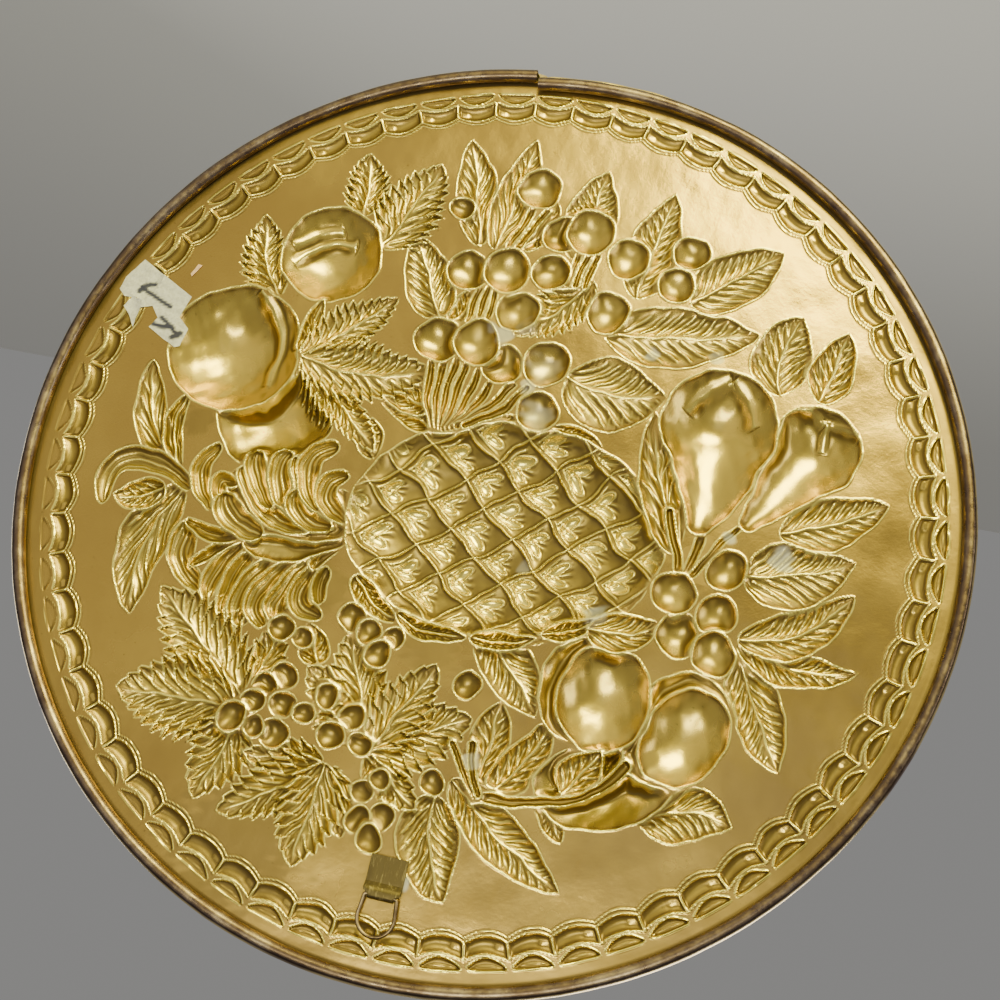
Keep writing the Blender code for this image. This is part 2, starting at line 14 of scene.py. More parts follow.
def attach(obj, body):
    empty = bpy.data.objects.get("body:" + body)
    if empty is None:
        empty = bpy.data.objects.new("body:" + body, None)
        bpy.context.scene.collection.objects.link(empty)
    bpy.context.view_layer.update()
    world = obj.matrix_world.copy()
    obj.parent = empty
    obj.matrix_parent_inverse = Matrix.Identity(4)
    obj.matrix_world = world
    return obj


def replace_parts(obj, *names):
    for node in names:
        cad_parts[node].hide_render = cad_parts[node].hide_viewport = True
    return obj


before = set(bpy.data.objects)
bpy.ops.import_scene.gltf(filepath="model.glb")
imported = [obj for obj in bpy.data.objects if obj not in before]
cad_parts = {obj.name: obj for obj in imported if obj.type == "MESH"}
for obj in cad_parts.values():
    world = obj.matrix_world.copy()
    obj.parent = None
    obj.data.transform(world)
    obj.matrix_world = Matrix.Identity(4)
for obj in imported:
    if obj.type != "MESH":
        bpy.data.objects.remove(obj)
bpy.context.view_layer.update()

# Sizes in metres, as in the part
PLAQUE_DIAMETER = 0.457
SHEET_THICKNESS = 0.0007
ROLL_DIAMETER = 0.0066
ROLL_DENT = 0.0043
SEAM_WIDTH = 0.0012
STRAP_WIDTH = 0.0170
TONGUE_WIDTH = 0.0118
STRAP_THICKNESS = 0.0008
STRAP_LENGTH = 0.0160
RING_DIAMETER = 0.0186
RING_WIRE = 0.0018
RING_BAR_DROP = 0.0093
RING_BELOW_RIM = 0.0300
HANGER_OFFSET = -0.0015
WIRE_PLAY = 0.00035
FACE_GAP = 0.0003

# Places worked out from the sizes
RADIUS = PLAQUE_DIAMETER / 2
NAIL_HEIGHT = RADIUS - RING_BELOW_RIM + RING_DIAMETER / 2 - RING_WIRE
RING_DEPTH = SHEET_THICKNESS / 2 + FACE_GAP + STRAP_THICKNESS + RING_WIRE / 2 + WIRE_PLAY
BAR_LEVEL = RING_WIRE - RING_DIAMETER / 2 - RING_BAR_DROP
MIDDLE = Vector((-HANGER_OFFSET, -RING_DEPTH, -NAIL_HEIGHT))
ROLL_MIDDLE = (ROLL_DIAMETER - SHEET_THICKNESS) / 2
PLATE_RADIUS = RADIUS - ROLL_DIAMETER / 2
DRAWN_RADIUS = 228.5
SCALE = RADIUS / DRAWN_RADIUS

# Counts and angles
SCALLOPS = 66
SEAM_SCALLOP = -34
DENT_SCALLOPS = 5.5

SCALLOP_TURN = 2 * math.pi / SCALLOPS
SEAM_TURN = math.pi / 2 + SCALLOP_TURN * SEAM_SCALLOP

# The fine mesh: spacing in millimetres of its points on the hollow back and on the display side
BACK_STEP = 0.64
FRONT_STEP = 1.45
PLAIN_DENSITY = 0.24
BACK_SLOPE_STEP = 0.3
FRONT_SLOPE_STEP = 0.6
BEND_STEP = 1.1
BEND_GAIN = 1.6
BUSY_STEP = 2.5
BUSY_TURNS = 1440
BORDER_BACK_SEGMENTS = 24
BORDER_FRONT_SEGMENTS = 13
FIELD_EDGE = 197.5
PIECE_EDGES = (84.0, 120.0, 148.0, 168.0)

# The drawing: places in millimetres on a plaque of 228.5 mm radius, seen from the display side, with
# its middle at 0, 0. It grows and shrinks with the plaque.
EDGE_BLEND = 2.6

# Leaves: foot x, z, tip x, z, half width, bow to the left of the way to the tip, and for some the
# spacing of the veins, the size of the teeth and the slant of the veins
BACK_LEAVES = (
    (-50, 50, -24, 68, 5.5, 3, 4), (-26, 65, 8, 68, 4.5, 3, 4), (10, 67, 40, 62, 4.5, 2, 4),
    (42, 60, 66, 47, 4.5, 2, 4), (-30, -26, -58, -36, 7, 3, 5), (-34, -40, -64, -50, 8, -2, 5),
    (-22, -31, 20, -38, 5, -3, 4), (22, -36, 52, -33, 5, -3, 4), (-56, -8, -66, -30, 6, 0, 5),
    (-36, -84, -27, -104, 7, 2, 5), (-10, -128, 2, -158, 6, 3, 8, 0, 3), (132, 56, 126, 88, 8, 0, 5),
    (60, 118, 70, 150, 8, 2, 5), (-56, 96, -66, 76, 7, 0, 5),
)
OUTER_LEAVES = (
    (132, 52, 158, 100, 12.5, 0), (131, 46, 184, 49, 9, 5), (131, 44, 178, 14, 11, 7),
    (128, 14, 176, -1, 16, 2), (141, -10, 187, -32, 12, 2), (129, -76, 134, -117, 14.5, -5),
    (146, -76, 154, -113, 10, 1.5), (101, 133, 143, 127, 13, -5), (28, 136, 31, 93, 10, 0, 7),
    (34, 137, 56, 96, 9.5, 3, 7), (17, 132, 75, 171, 11.5, 3), (11, 141, 26, 186, 14, 5),
    (16, 60, 48, 98, 12.5, 0), (42, -92, 113, -105, 16, 2, 7.5), (78, -115, 118, -149, 14.5, 0, 5.5),
    (52, -113, 60, -171, 13, 0, 6), (18, -128, 25, -178, 13, 0, 5),
    (-30, -127, -47, -184, 11, 0, 8, 0, 2.4), (-22, -126, -14, -190, 10, 0, 9, 0, 3),
    (-41, -85, -63, -127, 13, 0, 6), (-93, -133, -97, -167, 10, 0, 6.5, 4),
    (-79, -117, -59, -168, 15, 0, 7, 5), (-124, -82, -142, -125, 12, -4, 6.5, 4.5),
    (-143, 24, -151, 90, 13, 9, 13, 0, 4), (-147, 17, -178, -37, 9.5, -7, 14, 0, 4),
    (-148, 16, -151, -28, 4.5, -8, 16, 0, 4),
)
FRONT_LEAF = ((66, 128, 80, 107, 9, 0),)
INNER_LEAVES = (
    (-103, -53, -56, -12, 9, 0, 6, 4.5), (-105, -56, -101, -84, 5, 0, 6),
    (-103, -54, -64, -92, 11, 0, 6, 4.5), (-103, -53, -38, -57, 14, 5, 6.5, 5),
    (28, -66, 76, -65, 19, 4, 7.5), (30, -117, -2, -82, 12, 0, 6, 4), (62, 53, 95, 44, 9.5, 3, 7, 0, 2.6),
    (96, 10, 73, -56, 10, -3, 14, 0, 2.8),
)
TOOTHED_LOBES = (
    (-84, 112, -78, 78, 9, 0), (-88, 116, -140, 74, 17, 0), (-90, 122, -148, 124, 18, 0),
    (-86, 126, -97, 166, 14, 0), (-42, 138, -80, 141, 8, 0), (-42, 140, -85, 170, 12, 0),
    (-38, 140, -26, 168, 8, 0), (-41, 139, -46, 186, 13, 0), (-24, 130, 4, 150, 10, 0),
    (-24, 126, -60, 97, 14, 0), (-23, 127, 20, 104, 16, 0), (-24, 126, -46, 76, 14, 0),
    (-23, 126, -2, 84, 12, 0),
)

# Blades: half width, side of the lines (1 left, -1 right, 0 none), and points from the foot to the tip
CROWN_BLADES = (
    (6.5, 1, ((-133, 38), (-137, 50), (-134, 62), (-121, 72))),
    (5.0, 1, ((-107, 42), (-114, 56), (-118, 66), (-118, 77))),
    (3.2, 1, ((-110, 42), (-121, 51), (-129, 61))),
    (3.4, 1, ((-108, 41), (-122, 45), (-137, 40))),
    (4.4, 1, ((-99, 46), (-106, 58), (-109, 70), (-106, 84))),
    (6.5, 1, ((-86, 48), (-96, 60), (-101, 73), (-97, 85))),
    (6.2, 1, ((-79, 48), (-90, 63), (-94, 75), (-87, 82))),
    (6.0, 1, ((-73, 48), (-82, 64), (-84, 74), (-76, 77))),
    (5.4, 1, ((-67, 48), (-75, 61), (-73, 70), (-60, 71))),
    (3.6, 1, ((-63, 50), (-67, 58), (-62, 66))),
    (4.2, 1, ((-56, 28), (-65, 38), (-72, 52))),
    (9.0, 0, ((-54, 26), (-70, 34), (-90, 44), (-108, 42))),
    (16.0, 0, ((-56, 22), (-78, 24), (-102, 22), (-124, 16))),
    (5.2, -1, ((-126, 32), (-137, 21), (-138, 10), (-132, 0))),
    (3.8, -1, ((-117, 34), (-126, 25), (-127, 15), (-118, 17))),
    (6.8, -1, ((-99, 39), (-113, 37), (-120, 30), (-123, 23))),
    (7.0, -1, ((-77, 31), (-93, 31), (-108, 20), (-118, 8))),
    (5.0, -1, ((-98, 25), (-107, 17), (-112, 6), (-113, -1))),
    (5.8, -1, ((-83, 25), (-95, 17), (-101, 5), (-96, -3))),
    (2.6, -1, ((-86, 17), (-91, 6), (-93, -1))),
    (6.0, -1, ((-68, 29), (-80, 27), (-87, 20), (-86, 14))),
    (5.6, -1, ((-75, 22), (-85, 10), (-86, -4), (-73, -11))),
    (4.6, -1, ((-60, 26), (-73, 18), (-75, 7), (-66, 3))),
)
SMOOTH_BLADES = ((5.8, -1, ((-139, 24), (-156, 15), (-174, 13), (-185, 24), (-181, 40))),)
CURLED_LEAF = ((-154, 26, -177, 34, 7.5, -2, 5),)

# Domed fruit: middle x, z, half lengths along and across, turn in degrees
BACK_FRUIT = (
    (84, 121, 31, 20, -20), (111, 90, 28, 22, 115), (115, 93, 24, 18, 115), (70, 80, 24, 27, 0),
    (76, 83, 21, 25, 0), (-109, -20, 29, 28, 0), (-139, -51, 34, 33.5, 0), (-103, -109, 25.5, 26.5, 0),
)
PINEAPPLE = ((14, 15, 76, 54, -3),)
CELL = (29, 24)
CELL_NODE = (2, 28)

# Pears: circles from the neck to the bulb, x, z, radius
PEARS = (
    ((126, -12, 5.5), (133, -24, 9.5), (141, -38, 15.5), (149, -52, 21.5)),
    ((104, -7, 6.5), (105.5, -20, 12), (105.5, -34, 18), (103.5, -56, 27.5)),
)

# Clefts in the fruit: depth, width, and points along each
CLEFTS = (
    (2.6, 2.6, ((-121, -36), (-118, -60), (-124, -74), (-133, -84))),
    (2.2, 2.4, ((-122, -103), (-116, -113), (-106, -119), (-95, -119))),
    (1.8, 2.4, ((-124, -112), (-115, -121), (-103, -125))),
    (2.0, 2.8, ((87, -62), (93, -72), (105, -80))),
    (1.8, 2.8, ((121, -60), (116, -70), (106, -80))),
    (1.5, 2.3, ((153, -54), (153.5, -60), (152, -68))),
    (1.5, 2.4, ((152, -66), (145, -71), (134, -71))),
    (1.0, 2.2, ((152, -66), (160, -66), (169, -61))),
)

# Stems: radius, and points along each
STEMS = (
    (1.9, ((28, 138), (45, 137), (62, 134), (78, 127), (88, 117), (93, 111))),
    (1.4, ((28, 138), (21, 128), (14, 118))), (1.3, ((29, 137), (25, 127), (22, 115))),
    (1.7, ((-31, -30), (-38, -44), (-40, -62))), (1.6, ((-29, -30), (-34, -46), (-34, -64))),
    (1.6, ((-27, -30), (-29, -48), (-28, -66))), (1.6, ((-25, -30), (-23, -48), (-23, -66))),
    (1.6, ((-23, -31), (-17, -46), (-15, -64))), (1.6, ((-21, -32), (-11, -45), (-7, -60))),
    (1.6, ((-19, -33), (-5, -44), (2, -58))), (1.5, ((-16, -34), (1, -43), (9, -58))),
    (1.3, ((-28, -86), (-25, -104))), (1.3, ((-23, -86), (-21, -106))), (1.3, ((-18, -87), (-17, -106))),
    (1.2, ((17, -114), (20, -134))), (1.2, ((21, -114), (24, -134))), (1.2, ((26, -114), (28, -132))),
    (1.4, ((-17, -124), (-12, -140), (-8, -154))), (1.3, ((-13, -124), (-7, -140), (-2, -152))),
    (1.7, ((98, 19), (95, 4), (88, -9))), (1.6, ((102, 18), (106, -3))),
    (1.3, ((104, 19), (112, 4), (122, -8))),
)

# Berries: x, z, radius
BERRIES = (
    (104, 47, 10.5), (98, 29, 10), (119.5, 13, 9.5), (119, 35, 9.8), (121, 53, 9.8),
    (14, 90, 6.5), (9, 136, 5.5), (-22, 147, 5), (-10, 156, 6), (-21, 159, 6), (-13, 166, 6.2),
    (-67, 84, 5), (-78, 82, 6.5), (-70, 103, 6), (-78, 110, 6.5), (-68, 116, 6.5), (-69, 130, 7),
    (-78, 129, 5), (-82, 118, 6), (-90, 126, 7), (-28, 126, 5.5), (-34, 115, 6), (-42, 125, 6.5),
    (-25, 76, 5.5), (-46, 70, 6.5), (-37, 75, 6), (-30, 84, 6.5),
    (-5, -67, 10), (-39, -74, 11.5), (-20, -76, 11.5), (17, -46, 10.5), (16, -71, 11.5),
    (-4, -96, 11), (-33, -113, 10.5), (-14, -116, 11.5), (40, -103, 10.5), (8, -119, 9.5),
    (44, -133, 10.5), (9, -140, 9.5), (23, -144, 11.5), (-7, -163, 10.5), (74, -141, 9),
    (70, -123, 8.7), (-44, -146, 6.5), (-57, 118, 5), (-49, 108, 5.5), (-15, 140, 5),
)

# The scalloped border, in millimetres of the drawing, from the middle of the plaque
BORDER_CUSP = 204.0
BORDER_BOW = 3.2
SECOND_CUSP = 211.6
SECOND_BOW = 2.9
EYE_MIDDLE = 216.0
EYE_BOW = 3.0
EYE_HALF_DEPTH = 2.9
EYE_HALF_TURN = 0.46
EYE_TOP = 219.7
# Painted shadow on the sheet beside the rolled edge: where it starts, and the strength of a fainter darkening
# from 212 to 217 mm
RIM_SHADOW_START = 219.6
RIM_DARKENING = 0.32

# Depths and heights in millimetres of the drawing
FRUIT_RISE = 0.52
BERRY_RISE = 0.50
PINEAPPLE_DEPTH = 11.5
CELL_DEPTH = 3.0
LEAF_DEPTH = 5.0
CROWN_DEPTH = 5.4
STEM_DEPTH = 2.4
BORDER_DEPTH = 2.1
EYE_DEPTH = 1.9

# Chased lines, which stand proud on the back
OUTLINE_RISE = 0.36
OUTLINE_WIDTH = 0.42
VEIN_RISE = 0.36
VEIN_WIDTH = 0.5
VEIN_SPACING = 6.0
VEIN_SLANT = 1.5
VEIN_SWELL = 0.32
MIDRIB_RISE = 0.8
MIDRIB_WIDTH = 0.65
TOOTH_REACH = 0.34

# Shapes of leaves, blades and fruit, as shares of their length or width and as powers of them
LEAF_SWELL = (0.6, 0.85)
LEAF_WIDEST = 0.41
LEAF_CROWN = 2.2
RIB_DIP = 0.5
RIB_REACH = 0.3
LOBE_VEINS = 7.5
LOBE_TEETH = 5.8
LOBE_SLANT = 1.9
BLADE_LINES = ((0.66, 0.62), (0.12, 0.5), (-0.38, 0.3))
BLADE_LEAN = 0.3
BLADE_SWELL = 0.75
BLADE_CROWN = 3
FRUIT_DENSITY = 0.85

# The pineapple's cells: lines and petals in millimetres deep, places as shares of a cell, and the painted
# highlight on the petals and painted shade on the ground between them
CELL_LINE_RISE = 0.95
CELL_LINE_WIDTH = 0.45
INNER_LINE = 0.125
PETAL_DEPTH = 1.05
PETAL_MIDDLE = (0.47, 0.29)
PETAL_HALF = (0.31, 0.112)
PETAL_TILT = 0.12
PETAL_HIGHLIGHT = 1.2
GROUND_SHADE = (-0.5, -0.4)
FAN_FOLDS = 14

# Lines of the border, and how far all chased lines are worn
BORDER_RISE = 0.42
BORDER_LINE = 0.42
BORDER_WAVER = 0.4
DOUBLE_LINE = 1.9
WALL_WIDTH = 0.75
HOOK_DEPTH = 0.45
HOOK_WIDTH = 0.16
RIB_DEPTH = 0.35
WORN_ANGLE = 165.0
WORN_KEEP = 1.5
WEAR_MIDDLE = 0.62
WEAR_RANGE = (0.1, 1.25)

# The rolled edge; its unevenness in metres: waves round the plaque, start, size
ROLL_WAVES = (
    (7, 0.6, 0.0001), (13, 2.1, 0.00009), (29, 4.0, 0.00006), (53, 1.2, 0.00004), (97, 5.1, 0.00003),
)
ROLL_STATIONS = 481
ROLL_POINTS = 34
CREASE_ANGLE = 52.0
CREASE_SPREAD = 9.0
CREASE_DEPTH = 0.00028
ROLL_END = 215
BORDER_BACK_STEP = 0.70
BORDER_FRONT_STEP = 1.3
SHEET_PIECES = (
    "relief_middle", "relief_inner", "relief_outer", "relief_rim", "plain_field", "scalloped_border",
)

# The torn outer strip beside the pushed-in roll, in degrees past the seam and metres
STRIP_START = 0.5
STRIP_END = 27.9
STRIP_RADIUS = 0.0011
STRIP_STATIONS = 161
STRIP_SEGMENTS = 12
FLAP = (
    (-0.8, 222.5, 1.5), (-0.1, 227.2, 2.6), (0.9, 226.4, 2.4), (1.5, 224.4, 3.4), (0.6, 222.4, 4.2),
    (-0.3, 221.6, 3.0),
)

# The torn paper label, in millimetres of the drawing: its outline, its pen strokes and a scrap
LABEL = (
    (-197.7, -88.9), (-167.9, -73.3), (-171.1, -61.6), (-166.3, -57.4), (-167.8, -47.5), (-170.0, -46.0),
    (-175.6, -48.4), (-185.1, -53.5), (-182.0, -59.1), (-186.4, -64.8), (-192.9, -62.6), (-193.3, -52.0),
    (-198.1, -58.9), (-201.3, -62.2), (-198.5, -67.7), (-202.4, -67.4), (-206.2, -70.9), (-204.8, -78.1),
)
PEN_STROKES = (
    ((-195, -74), (-188, -70.5), (-181, -67.5), (-177, -66)),
    ((-196, -71.5), (-193, -76), (-189, -77)),
    ((-180, -59.5), (-175, -56.5), (-170, -52)),
    ((-185, -56), (-179, -54.5), (-173, -55.5)),
    ((-172, -50), (-169, -54)),
)
SCRAP = ((-171.0, -84.0), (-167.1, -90.9), (-169.4, -91.3), (-172.0, -85.5))
PAPER_STEP = 0.9
PAPER_THICKNESS = 0.00012
PAPER_LIFT = 0.00025
PAPER_WAVES = ((9, 20, 0.3, 0.48), (5, 100, 1.1, 0.32))
PAPER_SMOOTHING = 6

# The hanger's fine mesh
STRAP_SEGMENTS = 10
RING_SEGMENTS = 16
RING_STATIONS = 73
RING_CORNER = 0.6
CORNER_STATIONS = 7

# Colours: red, green, blue
BRASS_BROWN = (0.38, 0.235, 0.080)
BRASS_GOLD = (0.53, 0.36, 0.102)
BRASS_YELLOW = (0.68, 0.49, 0.125)
# The colour of the painted highlight on ridges and motifs
HIGHLIGHT_BRASS = (0.96, 0.79, 0.22)
BRASS_DARK = (0.12, 0.075, 0.030)
# The colour of dirt and painted shade
DIRT_AND_SHADE_BROWN = (0.14, 0.095, 0.05)
SMUDGE_GREY = (0.50, 0.50, 0.60)
ROLL_BROWN = (0.15, 0.10, 0.085)
ROLL_WORN = (0.37, 0.28, 0.24)
STRIP_BRASS = (0.80, 0.62, 0.30)
# The painted shade in the rolled edge's crease
CREASE_SHADE = (0.03, 0.018, 0.010)
STRAP_BROWN = (0.115, 0.085, 0.045)
STRAP_WORN = (0.28, 0.22, 0.12)
WIRE_DARK = (0.10, 0.065, 0.045)
WIRE_WORN = (0.42, 0.31, 0.22)
PAPER_WHITE = (0.62, 0.60, 0.74)
PAPER_PINK = (0.75, 0.48, 0.44)
PEN_BLUE = (0.03, 0.03, 0.09)

# How metallic and how rough the brass is, clean, smudged, in its crevices and under dirt and painted shade
METALLIC = 0.88
SMUDGE_METALLIC = 0.5
SHEET_ROUGHNESS = (0.20, 0.29)
CREVICE_ROUGHNESS = 0.15
DIRT_AND_SHADE_ROUGHNESS = 0.25

# Bends of the sheet, in millimetres, from where a ridge or a crevice starts to where it is full; ridges get a
# painted highlight and crevices painted shade
RIDGE_RANGE = (0.06, 0.30)
CREVICE_RANGE = (-0.03, -0.17)

# Sizes of the noise patterns, in waves per metre
CLOUDS = 14.0
SPECKLE = 420.0
BRUSHING = (190.0, 60.0)

# Unevenness of the hand work, in millimetres: wavelength, way in degrees, start, size
WAVER_X = (
    (41, 20, 0.3, 0.45), (26, 75, 1.9, 0.38), (17, 130, 4.1, 0.28), (11, 50, 2.7, 0.16),
    (6.5, 160, 0.9, 0.09),
)
WAVER_Z = (
    (37, 110, 2.2, 0.45), (23, 10, 5.0, 0.38), (15, 65, 1.1, 0.28), (10, 145, 3.6, 0.16),
    (7.1, 35, 0.2, 0.09),
)
CELL_WAVER_X = ((34, 65, 0.8, 1.1), (19, 150, 2.6, 0.6))
CELL_WAVER_Z = ((29, 15, 1.9, 1.1), (21, 100, 4.4, 0.6))
PATCH_WAVES = ((14, 30, 0.2, 0.14), (8, 110, 1.3, 0.12), (5, 70, 2.8, 0.10))
WEAR_WAVES = ((33, 40, 0.5, 0.16), (19, 120, 2.0, 0.16), (11, 85, 4.4, 0.15), (7, 15, 1.3, 0.12))
SHEET_WAVES = (
    (58, 25, 1.0, 0.10), (34, 100, 3.1, 0.07), (21, 60, 0.4, 0.035), (13, 150, 2.2, 0.018),
    (8, 5, 5.2, 0.009),
)

# Dark patches on the hollow side, of dirt and painted shade: middle x, z, radius and strength
DIRT_AND_SHADE_PATCHES = (
    (-74, 183, 36, 0.8), (-62, 58, 12, 0.8), (-5, 78, 15, 0.75), (-146, -10, 9, 0.7), (-8, 152, 22, 0.55),
    (-60, -8, 14, 0.6), (-118, 150, 40, 0.35), (-68, 70, 10, 0.7), (-130, 80, 9, 0.6), (108, 12, 12, 0.5),
    (-48, -18, 12, 0.5), (24, 100, 16, 0.4), (-15, -92, 14, 0.4), (-90, -82, 12, 0.5), (64, -2, 12, 0.3),
    (0, 176, 18, 0.35),
)
SMUDGES = (
    (64, 45, 6, 0.75), (118, -2, 3.4, 0.8), (144, 3, 6, 0.8), (17, -45, 8, 0.5), (9, -58, 4, 0.6),
    (-8, -82, 5, 0.7), (-14, -85, 3, 0.6), (66, -86, 3.6, 0.7), (96, -90, 4, 0.5), (24, 123, 4.5, 0.6),
    (7, 182, 3.2, 0.9), (26, 28, 3.5, 0.4), (15, -68, 9, 0.3), (3, -88, 6, 0.3),
)

# Light: name, way from the plaque, distance, size, power, colour
LIGHTS = (
    ("Main window", (0.25, 0.73, -0.63), 1.6, (0.95, 0.64), 44.0, (1.0, 0.97, 0.22)),
    ("Cool sky", (-0.02, 0.93, 0.38), 1.7, (0.68, 0.42), 12.0, (1.0, 1.0, 0.50)),
    ("Left wall", (-0.50, 0.80, -0.12), 2.2, (2.0, 2.0), 5.8, (1.0, 0.93, 0.48)),
    ("Cool wall", (0.07, 1.0, 0.02), 1.68, (0.55, 0.60), 0.45, (0.85, 0.93, 1.0)),
    ("Right strip", (0.93, 0.35, -0.1), 1.7, (0.3, 0.9), 4.0, (1.0, 0.98, 0.65)),
    ("Display light", (0.5, -0.8, 0.7), 1.8, (1.2, 1.2), 22.0, (1.0, 0.98, 0.95)),
    ("Display fill", (-0.8, -0.7, 0.1), 1.9, (1.2, 1.2), 10.0, (1.0, 0.98, 0.95)),
)
WORLD_COLOUR = (0.80, 0.79, 0.77)
WORLD_STRENGTH = 0.30
FLOOR_HEIGHT = -1.5
FLOOR_HALF = 4.0
FLOOR_COLOUR = (0.80, 0.79, 0.77)

# The photograph's view
CAMERA_AT = (0.1206, 0.6747, -0.0201)
CAMERA_AIM = (0.0107, -0.0027, -0.2055)
CAMERA_ROLL = 166.71
CAMERA_LENS = 54.01


def bump(distance, width):
    """A smooth ridge of height 1 and the given half width."""
    return np.exp(-(distance / width)**2)


def ripple(x, z, waves):
    """A sum of plane waves: each has its wavelength, the way it runs in degrees, its start and its size."""
    total = np.zeros_like(x)
    for length, way, start, size in waves:
        c, s = math.cos(math.radians(way)), math.sin(math.radians(way))
        total += size * np.sin(2 * math.pi * (x * c + z * s) / length + start)
    return total


def ease(value, low, high):
    share = np.clip((value - low) / (high - low), 0, 1)
    return share * share * (3 - 2 * share)


def bowed_path(x0, z0, x1, z1, bow, count=17):
    """Points on a curve from foot to tip that bows to its left."""
    t = np.linspace(0, 1, count)
    length = math.hypot(x1 - x0, z1 - z0)
    side = 4 * bow * t * (1 - t) / length
    return np.stack([x0 + (x1 - x0) * t - (z1 - z0) * side, z0 + (z1 - z0) * t + (x1 - x0) * side], axis=1)


def rounded_path(points, passes=3):
    """The points with their corners cut, so that they run as a smooth curve."""
    path = np.array(points, dtype=float)
    for _ in range(passes):
        start, step = path[:-1], path[1:] - path[:-1]
        cut = np.stack([start + 0.25 * step, start + 0.75 * step], axis=1).reshape(-1, 2)
        path = np.concatenate([path[:1], cut, path[-1:]])
    return path


def along_path(x, z, path):
    """For each point, the share of the way along the path, and the distance, positive to its left."""
    start = path[:-1]
    step = path[1:] - start
    from_x = x[:, None] - start[:, 0]
    from_z = z[:, None] - start[:, 1]
    share = np.clip((from_x * step[:, 0] + from_z * step[:, 1]) / (step**2).sum(axis=1), 0, 1)
    off = (from_x - share * step[:, 0])**2 + (from_z - share * step[:, 1])**2
    rows = np.arange(len(x))
    near = off.argmin(axis=1)
    turn = step[near, 0] * from_z[rows, near] - step[near, 1] * from_x[rows, near]
    distance = np.sqrt(off[rows, near])
    return (near + share[rows, near]) / len(step), np.where(turn < 0, -distance, distance)


def oval_reach(x, z, x0, z0, along, across, turn):
    """How far out points lie in an oval, 1 on its edge."""
    c, s = math.cos(math.radians(turn)), math.sin(math.radians(turn))
    return np.hypot(((x - x0) * c + (z - z0) * s) / along, ((z - z0) * c - (x - x0) * s) / across)


